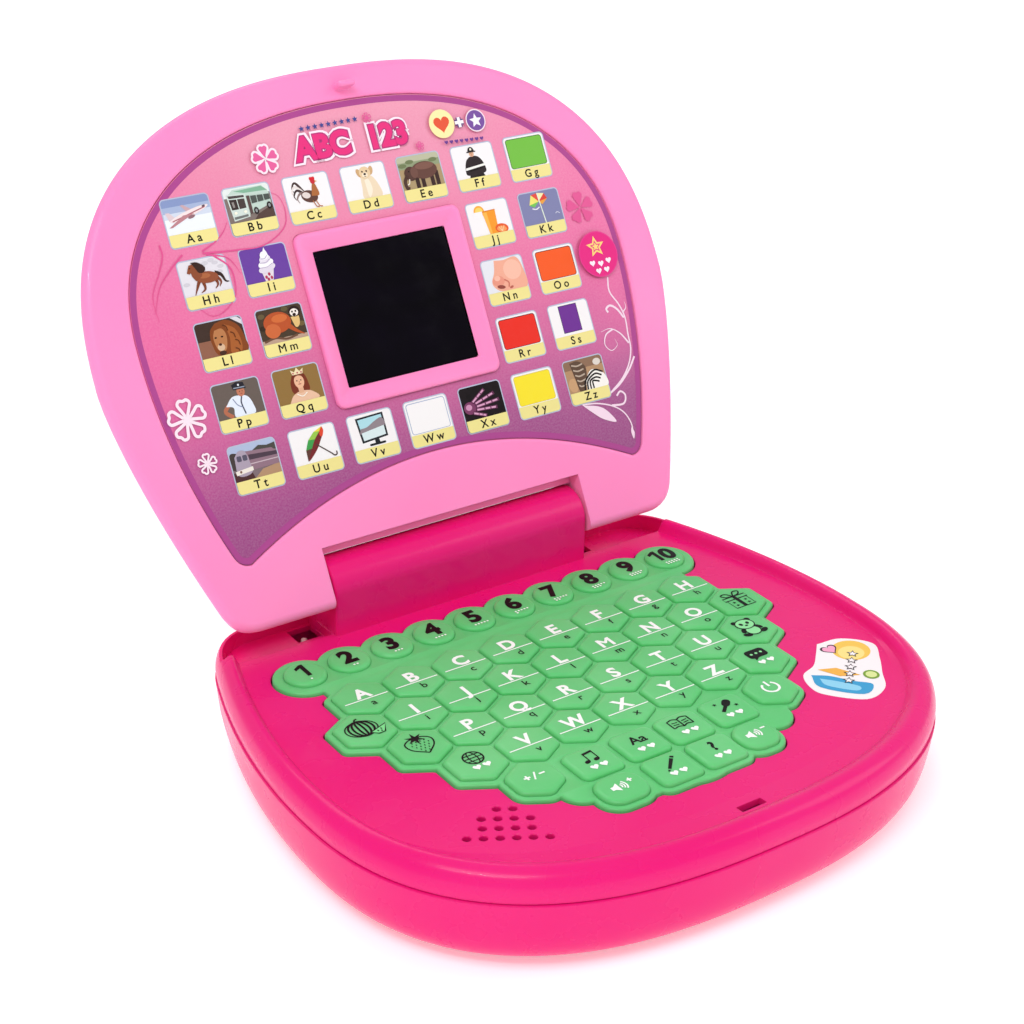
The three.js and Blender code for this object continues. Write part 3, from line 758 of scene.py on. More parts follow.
def mat_outline(margin):
    """The mat's plan: a lobe round every key, the round lobe below the two middle keys, and fillers."""
    lobe_hex = hexagon(HEX_LOBE * PITCH * math.cos(math.pi / 6), 2.2)
    lobes = []
    for x, y, form in key_spots:
        if form is ROUND_KEY:
            polygon, radius = form[0], ROUND_LOBE * PITCH
        elif form is HEX_KEY:
            polygon, radius = lobe_hex
        else:
            polygon, radius = form[0], form[1] + SQUARE_MARGIN * PITCH
        lobes.append((moved(polygon, x, y), radius + margin))
    lobes.append(([(0.0, KEYPAD_Y - 3.95 * PITCH)], PITCH + margin))
    for x, y, radius in MAT_FILLERS:
        for side in (-1, 1):
            lobes.append(([(side * x * PITCH, KEYPAD_Y + y * PITCH)], radius * PITCH + margin))
    last_row = cad_centre("letter_key_row_4")[1]
    lobes.append((rectangle(-3.9 * PITCH, 3.9 * PITCH, FIRST_ROW_Y, NUMBER_Y), margin))
    lobes.append((rectangle(-2.1 * PITCH, 2.1 * PITCH, KEYPAD_Y - 4 * PITCH, last_row), margin))
    return joined_outline(lobes)


# ---------------------------------------------------------------- base shells


def base_tool(levels):
    return tool([base_ring(*level) for level in levels])


def pocket_tools(floor, inset, growth):
    """The spaces either side of the barrel, where the lid's ears turn."""
    front = HINGE_Y - POCKET_FRONT - growth
    inner = BARREL_HALF + EAR_GAP - growth
    pockets = []
    for side in (-1, 1):
        across = sorted((side * inner, side * BEYOND))
        pocket = base_tool([(floor, inset), (RIM + 5, inset)])
        pockets.append(combine(pocket, [("INTERSECT", [block(*across, front, BEYOND, floor, RIM + 5)])]))
    return pockets


def housing_ring(x, inset, bottom):
    """Across the barrel housing: an upright front and back under a round top."""
    front = HINGE_Y - BARREL_RADIUS + inset
    rear = HINGE_Y + BARREL_RADIUS - inset
    top = ellipse(HINGE_Y, HINGE_Z, BARREL_RADIUS - inset, steps=32, start=0, end=math.pi)
    return [(x, front, bottom), (x, rear, bottom)] + [(x, y, z) for y, z in top]


def housing(inset, bottom, soften):
    """The barrel housing, or with an inset its hollow; soften is the bevel at its two ends."""
    half = BARREL_HALF - inset
    if soften:
        places = [(-half, soften), (soften - half, 0), (half - soften, 0), (half, soften)]
    else:
        places = [(-half, 0), (half, 0)]
    return tool([housing_ring(x, inset + extra, bottom) for x, extra in places])


SCREWS = [cad_centre(f"case_screw_{i}") for i in range(1, 5)]
SPEAKER_X, SPEAKER_Y = cad_centre("speaker_cone")


def grille_tools():
    """The speaker's holes, each flared at the panel."""
    profile = ((1.25, PANEL - 4), (1.25, PANEL - 0.3), (1.45, PANEL - 0.05), (1.7, PANEL + 0.2))
    cos, sin = math.cos(GRILLE_TURN), math.sin(GRILLE_TURN)
    holes = []
    for row, count in enumerate(GRILLE_ROWS):
        for i in range(count):
            x = (i - (count - 1) / 2) * GRILLE_STEP
            y = ((len(GRILLE_ROWS) - 1) / 2 - row) * GRILLE_STEP
            across = SPEAKER_X + GRILLE_SHIFT[0] + x * cos - y * sin
            along = SPEAKER_Y + GRILLE_SHIFT[1] + x * sin + y * cos
            holes.append(tool([flat_ring(ellipse(across, along, radius, steps=20), z)
                               for radius, z in profile]))
    return holes


def latch_slot():
    half_x, half_y = LATCH_SLOT
    y = HINGE_Y - LATCH_RUN
    return prism(rounded_rectangle(-half_x, half_x, y - half_y, y + half_y, 0.4), SEAM - 1, RIM + 1)


def lead_openings():
    gap = LEAD_OPENING
    return [block(x - gap["half"], x + gap["half"], HINGE_Y + gap["front"], HINGE_Y + gap["rear"],
                  gap["bottom"], gap["top"]) for x in (-gap["x"], gap["x"])]


def mat_hole():
    """The hole that the mat sits in, rounded at the panel."""
    plan = mat_outline(0.4)
    levels = ((0, PANEL - 4), (0, PANEL - 0.35), (-0.12, PANEL - 0.1), (-0.4, PANEL + 0.05),
              (-0.4, PANEL + 3))
    return tool([flat_ring(shrunk(plan, inset), z) for inset, z in levels])


def top_cover():
    outside = curve_through([
        (SEAM + 0.3, 0.25, 0.25), (29.5, 0, 0), (32.4, 0.8, 0.8), (34.4, 2.3, 2.3), (RIM, 4.6, 5.2),
        (34.6, 6.3, 8.0), (32.3, 7.4, 10.6),
    ], 5)
    panel_edge = [(PANEL + 0.06, 7.75, 18.6), (PANEL, 7.85, 19.4)]
    cover = Build().loft([base_ring(*row) for row in [*outside, *panel_edge]])
    cover = cover.piece("top_cover", [base_plastic])
    hollow = base_tool([(SEAM, 2.2), (31, 2.7), (33.2, 4.2), (33.2, 4.8, 6), (PANEL - COVER_WALL, 5.8, 9)])
    hollow = combine(hollow, [("DIFFERENCE", pocket_tools(SEAM + 0.3, 1, COVER_WALL))])
    pocket_floor = SEAM + 0.3 + COVER_WALL
    above_rear_wall = block(-BEYOND, BEYOND, HINGE_Y - 6.4, BEYOND, REAR_WALL_TOP, RIM + 5)
    combine(cover, [
        ("DIFFERENCE", [above_rear_wall, hollow]),
        ("DIFFERENCE", pocket_tools(pocket_floor, 2.6, 0)),
        ("UNION", [housing(0, pocket_floor, 0.5)]),
        ("DIFFERENCE", [housing(COVER_WALL, SEAM, 0)]),
        ("UNION", [post(x, y, 4, 20.3, PANEL - 1) for x, y in SCREWS]),
        ("DIFFERENCE", [post(x, y, 1.7, 20, 28.5) for x, y in SCREWS]),
        ("DIFFERENCE", [mat_hole(), latch_slot(), *grille_tools()]),
        ("DIFFERENCE", [pin_hole(HINGE_Y, HINGE_Z), *lead_openings()]),
    ])
    even_shading(cover)
    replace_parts(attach(cover, "base"), "base_top_cover")


def bottom_shell():
    outside = curve_through([(1.5, 14), (2.5, 9.8), (4.6, 5.6), (8, 2.8), (14, 1), (25.4, -0.28)], 5)
    seam_edge = [(25.75, -0.22), (25.95, 0.1), (SEAM, 0.5)]
    shell = Build().loft([base_ring(*row) for row in [*outside, *seam_edge]])
    shell = shell.piece("bottom_shell", [base_plastic])
    half, roof, wall = BAY["half"], BAY["roof"], BAY["wall"]
    front, rear = HINGE_Y - BAY["front"], HINGE_Y - BAY["rear"]
    door_rear = HINGE_Y - DOOR_REAR
    hollow = base_tool([(3.5, 14), (5.5, 8), (9, 4.8), (14.5, 3.1), (SEAM + 1, 1.8)])
    screw_heads = [post(x, y, 3.2, 0, 8) for x, y in SCREWS]
    screw_holes = [post(x, y, 1.8, 0, 21) for x, y in SCREWS]
    door_screw = cad_centre("battery_door_screw")
    combine(shell, [
        ("DIFFERENCE", [hollow]),
        ("UNION", [block(-half - wall, half + wall, front - wall, rear + wall, 3, roof + wall)]),
        ("UNION", [post(x, y, 4.5, 5, 20) for x, y in SCREWS]),
        ("DIFFERENCE", [block(-half, half, front, rear, 0, roof),
                        block(-half, half, rear - 1, door_rear, 0, DOOR_THICKNESS)]),
        ("UNION", [block(-6, 6, rear, door_rear + 0.4, 6.4, 14)]),
        ("DIFFERENCE", [post(*door_screw, 1.5, 6, 13), block(-6.5, 6.5, rear - 8, rear - 0.2, 6, 14.5),
                        *screw_heads, *screw_holes]),
    ])
    even_shading(shell)
    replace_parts(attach(shell, "base"), "base_bottom_shell")


# ---------------------------------------------------------------- keypad


def keypad_mat():
    plan = mat_outline(0)
    outer_levels = ((0, 29.6), (0, 31.9), (0.12, 32.25), (0.4, 32.55), (0.9, MAT_TOP))
    outer = [flat_ring(shrunk(plan, inset), z) for inset, z in outer_levels]
    hole_levels = ((0.07, 29.6), (0.07, MAT_TOP - 0.25), (0.2, MAT_TOP - 0.06), (0.4, MAT_TOP))
    holes = [[flat_ring(swollen(moved(polygon, x, y), radius + margin), z) for margin, z in hole_levels]
             for x, y, (polygon, radius) in key_spots]
    mat = Build().plate(outer, holes).piece("keypad", [keypad_silicone], crease=40)
    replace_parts(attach(mat, "base"), "keypad_mat")


# A key cap's rings: how far in, and how high.
CAP_PROFILE = ((0, KEY_FOOT), (0, 32.95), (0.1, 33.28), (0.32, 33.58), (0.68, 33.82), (1.1, 33.95),
               (1.6, KEY_TOP))
PRINT_LIFT = 0.04  # of the first printed shape above its ground
INK_LAYER = 0.012  # from one printed shape to the next
PRINT_SLOT = 1  # a printed piece's second material is its ink
CAPITAL_HEIGHT = 0.729  # of the font's capitals, in a font of size 1


def key_cap(build, x, y, form):
    """One key's cap, rounded over towards its top."""
    polygon, radius = form
    rings = [flat_ring(swollen(moved(polygon, x, y), radius - inset), z) for inset, z in CAP_PROFILE]
    build.loft(rings)


glyph_cache = {}


def glyph(text, boldness):
    """A line of text as flat points and faces, its baseline on the x axis, centred, capitals 1 high."""
    if (text, boldness) not in glyph_cache:
        font = bpy.data.curves.new("glyph", "FONT")
        font.body = text
        font.offset = boldness
        font.resolution_u = 4
        holder = bpy.data.objects.new("glyph", font)
        bpy.context.collection.objects.link(holder)
        mesh = holder.to_mesh()
        points = [(v.co.x, v.co.y) for v in mesh.vertices]
        faces = [tuple(face.vertices) for face in mesh.polygons]
        holder.to_mesh_clear()
        bpy.data.objects.remove(holder)
        middle = (min(x for x, _ in points) + max(x for x, _ in points)) / 2
        points = [((x - middle) / CAPITAL_HEIGHT, y / CAPITAL_HEIGHT) for x, y in points]
        faces = [face if area([points[i] for i in face]) > 0 else face[::-1] for face in faces]
        glyph_cache[text, boldness] = (points, faces)
    return glyph_cache[text, boldness]


class Print:
    """Printed shapes on a flat face, drawn round a middle point, each just above the last."""

    def __init__(self, build, x, y, surface, weight=1.0):
        self.build = build
        self.x = x
        self.y = y
        self.weight = weight
        self.height = surface + PRINT_LIFT

    def at(self, points):
        return [(self.x + px, self.y + py) for px, py in points]

    def fill(self, points, colour, holes=()):
        self.build.shape([self.at(points), *[self.at(hole) for hole in holes]], self.height, colour)
        self.height += INK_LAYER
        return self

    def blob(self, x, y, rx, ry, colour, turn=0.0):
        return self.fill(ellipse(x, y, rx, ry, turn=math.radians(turn)), colour)

    def text(self, text, x, baseline, height, colour, boldness=0.0):
        """Text in that height of capitals. The font's M can't be grown bolder, so it is drawn three times."""
        flawed = "M" in text
        points, faces = glyph(text, 0 if flawed else boldness)
        for shift in (-boldness, 0, boldness) if flawed else (0,):
            spots = self.at([(x + height * (px + shift), baseline + height * py) for px, py in points])
            self.build.add(flat_ring(spots, self.height), faces, PRINT_SLOT, colour)
            self.height += INK_LAYER
        return self

    def stroke(self, points, width, colour, closed=False, taper=False):
        """A line of that width, tapering to its end if asked."""
        line = np.array(points, float)
        if closed:
            along = np.roll(line, -1, axis=0) - np.roll(line, 1, axis=0)
        else:
            along = np.gradient(line, axis=0)
        along /= np.linalg.norm(along, axis=1)[:, None] + 1e-9
        share = np.linspace(1, 0.15, len(line)) if taper else np.ones(len(line))
        side = np.column_stack([-along[:, 1], along[:, 0]]) * (self.weight * width / 2) * share[:, None]
        vertices = self.at([tuple(p) for p in np.vstack([line + side, line - side])])
        count = len(line)
        last = count if closed else count - 1
        faces = [(i + count, (i + 1) % count + count, (i + 1) % count, i) for i in range(last)]
        self.build.add(flat_ring(vertices, self.height), faces, PRINT_SLOT, colour)
        self.height += INK_LAYER
        return self

    def smooth(self, points, colour):
        """A shape with a soft outline through a few points."""
        loop = curve_through([*points, points[0]], 5)[:-1]
        return self.fill(loop if area(loop) > 0 else loop[::-1], colour)

    def line(self, points, width, colour, taper=False):
        return self.stroke(curve_through(points, 6), width, colour, taper=taper)


def heart(x, y, size):
    points = []
    for i in range(28):
        t = 2 * math.pi * i / 28
        px = 16 * math.sin(t) ** 3
        py = 13 * math.cos(t) - 5 * math.cos(2 * t) - 2 * math.cos(3 * t) - math.cos(4 * t)
        points.append((x + size * px / 16, y + size * (py + 2) / 16))
    return points[::-1]


def star(x, y, size, tips=5, depth=0.45, turn=90.0):
    points = []
    for i in range(2 * tips):
        radius = size if i % 2 == 0 else size * depth
        angle = math.radians(turn + 180 * i / tips)
        points.append((x + radius * math.cos(angle), y + radius * math.sin(angle)))
    return points


def legend_letter(art, letter):
    """A white capital over a white line, and its small letter in black below."""
    line_y = -0.11 * PITCH
    art.fill(rectangle(-7.5, 7.5, line_y - 0.22, line_y + 0.22), INK_WHITE)
    art.text(letter, 0.1, line_y + 0.85, 5.3, INK_WHITE, 0.035)
    lower = letter.lower()
    art.text(lower, 0.9, line_y - (3.6 if lower in "gpqyj" else 4.1), 3.0, INK_BLACK, 0.01)


def legend_number(art, number):
    """A bold black number over as many white dots; the 1 is a plain upright with a slanted flag."""
    foot = -2.2
    height = 7.1
    if number in (1, 10):
        x = -0.2 if number == 1 else -2.9
        upright = [(0, foot), (1.5, foot), (1.5, 4.9), (0.3, 4.9), (-1.9, 3.5), (-1.9, 2.1), (0, 3.1)]
        art.fill(moved(upright, x, 0), INK_BLACK)
    if number == 10:
        art.text("0", 1.9, foot, height, INK_BLACK, 0.05)
    elif number > 1:
        art.text(str(number), -0.2, foot, height, INK_BLACK, 0.05)
    for i in range(number):
        across = (i % 5 - (min(number, 5) - 1) / 2) * 1.15
        art.blob(across, -4.1 - 1.1 * (i // 5), 0.36, 0.36, INK_WHITE)


def white_pair(art):
    """Two small hearts under a symbol."""
    for x in (-1.7, 1.7):
        art.fill(heart(x, -3.4, 1.35), INK_WHITE)


def legend_melon(art):
    art.stroke(ellipse(-1, 0.4, 5.2, 4.1), 0.35, INK_BLACK, closed=True)
    for bow in (-3.9, -2.4, -0.8, 0.8, 2.4, 3.9):
        end = -math.pi / 2 if bow > 0 else 1.5 * math.pi
        art.stroke(ellipse(-1, 0.4, abs(bow), 4.1, start=math.pi / 2, end=end), 0.55, INK_BLACK)
    art.stroke(curve_through([(-1, 4.5), (-0.6, 5.4), (0.4, 5.8)], 5), 0.4, INK_BLACK)
    wedge = [(0.5, -2.8), (6.6, -0.6), (4.4, -4.4), (2.2, -4.6)]
    art.fill(wedge, "7bd98c").stroke(wedge, 0.35, INK_BLACK, closed=True)
    for x, y in ((2.6, -3.2), (4.0, -2.6), (3.6, -3.7)):
        art.blob(x, y, 0.25, 0.4, INK_BLACK)


def legend_strawberry(art):
    body = [(0.2, -5.2), (-3.6, -1.8), (-4.2, 1.6), (-1.8, 3.4), (0.2, 2.9), (2.4, 3.4), (4.6, 1.4),
            (3.8, -1.8), (0.2, -5.2)]
    art.line(body, 0.38, INK_BLACK)
    art.fill(star(0.2, 3.2, 3.2, tips=6, depth=0.35), INK_BLACK)
    for row, count in enumerate((4, 5, 4, 3, 2)):
        for i in range(count):
            art.blob(0.2 + (i - (count - 1) / 2) * 1.4, 1.4 - row * 1.35, 0.2, 0.34, INK_BLACK)


def legend_present(art):
    art.stroke(rectangle(-4, 4, -4.6, 0.6), 0.38, INK_BLACK, closed=True)
    art.stroke(rectangle(-4.6, 4.6, 0.6, 2.4), 0.38, INK_BLACK, closed=True)
    art.fill(rectangle(-0.7, 0.7, -4.6, 2.4), INK_BLACK)
    for side in (-1, 1):
        bow = [(0, 2.5), (side * 1.6, 4.9), (side * 3.6, 4.6), (side * 2.6, 3.0), (0, 2.5)]
        art.line(bow, 0.4, INK_BLACK)
    for x, y in ((-2.4, -1.2), (2.4, -1.2), (-2.4, -3.2), (2.4, -3.2)):
        art.fill(star(x, y, 0.7), INK_BLACK)


def legend_bear(art):
    for side in (-1, 1):
        art.blob(side * 2.7, 4.2, 1.1, 1.0, INK_BLACK)
        art.blob(side * 3.4, -3.9, 1.6, 1.0, INK_BLACK, side * 25)
        art.blob(side * 2.9, -1.2, 0.9, 1.7, INK_BLACK, side * 35)
    art.blob(0, -2.4, 2.6, 2.5, LIT_SILICONE).stroke(ellipse(0, -2.4, 2.6, 2.5), 0.32, INK_BLACK, closed=True)
    art.blob(0, 2.0, 3.4, 2.9, LIT_SILICONE).stroke(ellipse(0, 2.0, 3.4, 2.9), 0.32, INK_BLACK, closed=True)
    for side in (-1, 1):
        art.blob(side * 1.3, 2.3, 0.62, 0.8, INK_BLACK, side * -20)
    art.blob(0, 1.0, 0.6, 0.42, INK_BLACK)


def legend_globe(art):
    art.stroke(ellipse(0, 1.6, 3.1), 0.42, INK_BLACK, closed=True)
    art.stroke(ellipse(0, 1.6, 1.3, 3.1), 0.32, INK_BLACK, closed=True)
    for y in (0.1, 1.6, 3.1):
        reach = math.sqrt(3.1**2 - (y - 1.6) ** 2)
        art.stroke([(-reach, y), (reach, y)], 0.32, INK_BLACK)
    white_pair(art)


def legend_speech(art):
    art.fill(rounded_rectangle(-3.7, 3.7, -0.4, 4.4, 1.4), INK_BLACK)
    art.fill([(-2.4, -0.2), (-0.4, -0.2), (-2.6, -1.7)], INK_BLACK)
    for x in (-1.9, 0, 1.9):
        art.blob(x, 2.0, 0.5, 0.5, LIT_SILICONE)
    white_pair(art)


def legend_notes(art):
    for x in (-1.9, 1.3):
        art.blob(x, -0.1, 1.05, 0.75, INK_BLACK, 20)
        art.fill(rectangle(x + 0.65, x + 1.05, 0, 4.2), INK_BLACK)
    art.fill([(-1.25, 3.3), (2.35, 3.7), (2.35, 4.6), (-1.25, 4.2)], INK_BLACK)
    white_pair(art)


def legend_letters(art):
    art.text("Aa", 0, -0.2, 3.9, INK_BLACK, 0.02)
    white_pair(art)


def legend_book(art):
    for side in (-1, 1):
        page = curve_through([(0, 3.6), (side * 1.6, 4.3), (side * 3.6, 3.8)], 5)
        foot = curve_through([(side * 3.6, -0.2), (side * 1.6, 0.3), (0, -0.4)], 5)
        art.stroke(page + foot, 0.38, INK_BLACK)
        for y in (1.2, 2.3):
            art.stroke([(side * 0.8, y), (side * 2.8, y + 0.2)], 0.3, INK_BLACK)
    art.stroke([(0, -0.4), (0, 3.6)], 0.38, INK_BLACK)
    white_pair(art)


def legend_microphone(art):
    art.fill(swollen([(0.8, 2.3), (1.7, 3.3)], 1.35, 10), INK_BLACK)
    art.stroke([(0.2, 1.6), (-2.6, -0.9)], 0.9, INK_BLACK)
    for x, y in ((-2.6, 3.6), (3.4, 0.4)):
        art.fill(star(x, y, 0.8), INK_BLACK)
    white_pair(art)


def legend_pencil(art):
    art.fill([(-2.0, -0.5), (-1.2, -1.1), (2.6, 2.9), (1.7, 3.7)], INK_BLACK)
    art.fill([(-2.3, -0.9), (-1.6, -1.5), (-2.9, -2.0)], INK_BLACK)
    art.fill([(2.0, 4.0), (2.9, 3.2), (3.5, 3.9), (2.6, 4.6)], INK_BLACK)
    white_pair(art)


def legend_question(art):
    art.text("?", 0, -0.4, 4.6, INK_BLACK, 0.03)
    white_pair(art)


def legend_plus_minus(art):
    art.stroke([(-3.6, 0.4), (-1.4, 0.4)], 0.5, INK_WHITE)
    art.stroke([(-2.5, -0.7), (-2.5, 1.5)], 0.5, INK_WHITE)
    art.stroke([(-0.8, -1.4), (0.9, 2.0)], 0.4, INK_WHITE)
    art.stroke([(1.6, 0.4), (3.6, 0.4)], 0.5, INK_WHITE)


def legend_power(art):
    art.stroke(ellipse(0, 0, 2.7, start=math.radians(125), end=math.radians(415), steps=40), 0.6, INK_WHITE)
    art.stroke([(0, 0.6), (0, 3.6)], 0.6, INK_WHITE)


def legend_sound(art, sign):
    art.fill([(-3.6, -0.8), (-2.6, -0.8), (-1.0, -2.0), (-1.0, 2.0), (-2.6, 0.8), (-3.6, 0.8)], INK_WHITE)
    for radius in (1.0, 1.8, 2.6):
        art.stroke(ellipse(-1.0, 0, radius, start=-0.8, end=0.8, steps=10), 0.36, INK_WHITE)
    art.stroke([(2.7, 1.4), (4.5, 1.4)], 0.45, INK_WHITE)
    if sign == "+":
        art.stroke([(3.6, 0.5), (3.6, 2.3)], 0.45, INK_WHITE)


legends = {
    "melon_key": legend_melon, "present_key": legend_present, "strawberry_key": legend_strawberry,
    "bear_key": legend_bear, "first_language_key": legend_globe, "second_language_key": legend_speech,
    "plus_minus_key": legend_plus_minus, "music_key": legend_notes, "letter_mode_key": legend_letters,
    "word_mode_key": legend_book, "singing_key": legend_microphone, "power_key": legend_power,
    "volume_up_key": lambda art: legend_sound(art, "+"), "spelling_key": legend_pencil,
    "asking_key": legend_question, "volume_down_key": lambda art: legend_sound(art, "-"),
}
for number in range(1, 11):
    legends[f"number_key_{number}"] = lambda art, number=number: legend_number(art, number)


def finish_key(build, name):
    cap = build.piece(f"{name}_cap", [keypad_silicone, ink], crease=50)
    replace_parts(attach(cap, name), name)


def keys():
    for name, form in key_forms.items():
        build = Build()
        x, y = cad_centre(name)
        key_cap(build, x, y, form)
        legends[name](Print(build, x, y, KEY_TOP, weight=1.3))
        finish_key(build, name)
    for name, letters in letter_rows.items():
        build = Build()
        places = row_places(name, letters)
        for letter, (x, y) in zip(letters, places):
            key_cap(build, x, y, HEX_KEY)
            legend_letter(Print(build, x, y, KEY_TOP), letter)
        (first_x, y), (last_x, _) = places[0], places[-1]
        carrier = rectangle(first_x - 2, last_x + 2, y - 2.5, y + 2.5)
        build.loft([flat_ring(carrier, KEY_FOOT), flat_ring(carrier, KEY_FOOT + 0.6)])
        finish_key(build, name)


# ---------------------------------------------------------------- lid shells


def lid_tool(levels):
    return tool([lid_ring(*level) for level in levels])


def notch_tool(growth=0.0, run=NOTCH_RUN):
    """The gap in the lid's hinge end, where the base's barrel housing stands."""
    return block(-NOTCH_HALF - growth, NOTCH_HALF + growth, -30, run + growth, -20, 30)


def screen_plan(margin, radius):
    return rounded_rectangle(-SCREEN["half"] - margin, SCREEN["half"] + margin, SCREEN["low"] - margin,
                             SCREEN["high"] + margin, radius)


def front_bezel():
    fillet = 2.9
    fillet_steps = 8
    side = curve_through([(LID_SEAM + 0.3, 1.12, 0), (5.2, 0.42, 0), (6.7, 0, 0)], 3)
    rows = [(LID_SEAM, 1.5, 0.25), *side]
    for i in range(1, fillet_steps + 1):
        angle = math.pi / 2 * i / fillet_steps
        inset = fillet * (1 - math.cos(angle))
        rows.append((LID_FACE - fillet * (1 - math.sin(angle)), inset, inset))
    bezel = Build().loft([lid_ring(*row) for row in rows]).piece("front_bezel", [lid_plastic])
    recess_levels = ((0, 8.0), (0, 8.9), (0.1, 9.2), (0.35, 9.42), (0.75, 9.55), (1.3, LID_FACE), (1.3, 12))
    recess = [flat_ring(card_plan(-flare), height) for flare, height in recess_levels]
    hollow = combine(lid_tool([(LID_SEAM - 1, 3.6, 2), (6.2, 2.2, 2)]), [("DIFFERENCE", [notch_tool(2)])])
    combine(bezel, [
        ("DIFFERENCE", [hollow, notch_tool(), tool(recess)]),
        ("DIFFERENCE", [prism(screen_plan(0, 0.5), 0, 9)]),
    ])
    bezel.matrix_world = LID_PLACE
    even_shading(bezel)
    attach(bezel, "lid")
    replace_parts(bezel, "lid_front_bezel")


def screen_surround():
    """The raised frame round the display, sloping down to the window."""
    rows = ((0.0, 6.2, 0.3), (0.0, 8.0, 0.3), (0.2, 8.1, 0.4), (0.45, 8.25, 0.5), (4.5, 10.33, 2.1),
            (4.9, FRAME_TOP, 2.3), (5.4, 10.35, 2.5), (5.9, 10.15, 2.8), (6.2, 9.8, 3.0),
            (FRAME_WIDTH, 9.3, 3.0), (FRAME_WIDTH, 6.2, 3.0))
    rings = [flat_ring(screen_plan(margin, radius), height) for margin, height, radius in rows]
    surround = Build().loft(rings, closed=True)
    surround = surround.piece("screen_surround", [lid_plastic], LID_PLACE, crease=25)
    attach(surround, "lid")


def latch_nub():
    levels = ((0.5, 8.6), (0.3, 9.7), (0, 10.1), (0, 13.6), (-0.15, 14.1), (-0.45, 14.5), (-0.8, 14.7))
    rings = []
    for margin, height in levels:
        half_x = LATCH_NUB[0] + margin
        half_run = LATCH_NUB[1] + margin
        plan = rounded_rectangle(-half_x, half_x, LATCH_RUN - half_run, LATCH_RUN + half_run, 1.0 + margin)
        rings.append(flat_ring(plan, height))
    nub = Build().loft(rings).piece("latch_nub", [lid_plastic], LID_PLACE)
    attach(nub, "lid")


def back_shell():
    outside = curve_through([(-7.5, 20, 12), (-6.8, 14, 7.5), (-5, 9, 3.6), (-2, 4.9, 0.8), (1, 2.6, 0),
                             (3, 1.42, 0)], 5)
    rows = outside + [(3.2, 1.4, 0.1), (3.3, 1.7, 0.35)]
    shell = Build().loft([lid_ring(*row) for row in rows]).piece("back_shell", [lid_plastic])
    hollow = lid_tool([(-5.5, 15, 9), (-4, 11, 6), (-1, 6.4, 3), (LID_SEAM + 1, 3.2, 2)])
    hollow = combine(hollow, [("DIFFERENCE", [notch_tool(2, BACK_NOTCH_RUN)])])
    combine(shell, [("DIFFERENCE", [hollow, notch_tool(0, BACK_NOTCH_RUN), pin_hole(0, 0)])])
    shell.matrix_world = LID_PLACE
    even_shading(shell)
    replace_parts(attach(shell, "lid"), "lid_back_shell")


def screen():
    rows = [(-0.3, 6.6, 0.3), (-0.3, 7.65, 0.3), (-0.45, 7.8, 0.3)]
    pane = Build().loft([flat_ring(screen_plan(margin, radius), height) for margin, height, radius in rows])
    pane = pane.piece("window_pane", [window], LID_PLACE)
    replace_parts(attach(pane, "lid"), "screen_window")


top_cover()
bottom_shell()
keypad_mat()
keys()
front_bezel()
screen_surround()
latch_nub()
back_shell()
screen()

# ---------------------------------------------------------------- the printed card

PICTURE_HALF_X = 8.5
PICTURE_HALF_RUN = 7.95
PICTURE_EDGE = 0.4
PICTURE_CORNER = 1.15
CAPTION_TOP = -3.5
PICTURE_STEP_X = 21.47
PICTURE_STEP_RUN = 19.77
LOWEST_PICTURE = 42.2
CARD_WHITE = "efebed"
PICTURE_BORDER = "b4bbd2"
CAPTION_YELLOW = "e9dc90"
TITLE_ROSE = "e0609a"
FLOWER_WHITE = "f4dfeb"


class Picture(Print):
    """One picture square: a pale edge, a ground colour, the drawing and a caption bar."""

    def __init__(self, build, x, y, ground):
        super().__init__(build, x, y, CARD_FACE + 0.03)
        self.reach_x = PICTURE_HALF_X - PICTURE_EDGE
        self.reach_y = PICTURE_HALF_RUN - PICTURE_EDGE
        edge = rounded_rectangle(-PICTURE_HALF_X, PICTURE_HALF_X, -PICTURE_HALF_RUN, PICTURE_HALF_RUN,
                                 PICTURE_CORNER + PICTURE_EDGE)
        self.fill(edge, PICTURE_BORDER)
        self.fill(rounded_rectangle(-self.reach_x, self.reach_x, -self.reach_y, self.reach_y,
                                    PICTURE_CORNER), ground)

    def corner(self, side_x, side_y, start):
        """A rounded corner of the square, from that direction in degrees on through a quarter turn."""
        return ellipse(side_x * (self.reach_x - PICTURE_CORNER), side_y * (self.reach_y - PICTURE_CORNER),
                       PICTURE_CORNER, steps=5, start=math.radians(start), end=math.radians(start + 90))

    def sky(self, low, colour):
        """A band from that height up to the top edge."""
        corners = self.corner(1, 1, 0) + self.corner(-1, 1, 90)
        return self.fill([(-self.reach_x, low), (self.reach_x, low)] + corners, colour)

    def caption(self, text):
        corners = self.corner(-1, -1, 180) + self.corner(1, -1, 270)
        self.fill([(-self.reach_x, CAPTION_TOP)] + corners + [(self.reach_x, CAPTION_TOP)], CAPTION_YELLOW)
        self.text(text, 0, -6.75, 2.8, INK_BLACK, 0.02)

    def calm_face(self, x, y, size):
        """A plain face: two eyes, a small nose and a level mouth."""
        for side in (-0.42, 0.42):
            self.blob(x + side * size, y + 0.2 * size, 0.12 * size, 0.15 * size, "2e221f")
        self.blob(x, y - 0.1 * size, 0.1 * size, 0.16 * size, "b9826a")
        mouth = [(x - 0.3 * size, y - 0.5 * size), (x + 0.3 * size, y - 0.5 * size)]
        self.stroke(mouth, 0.14 * size, "9a4a44")


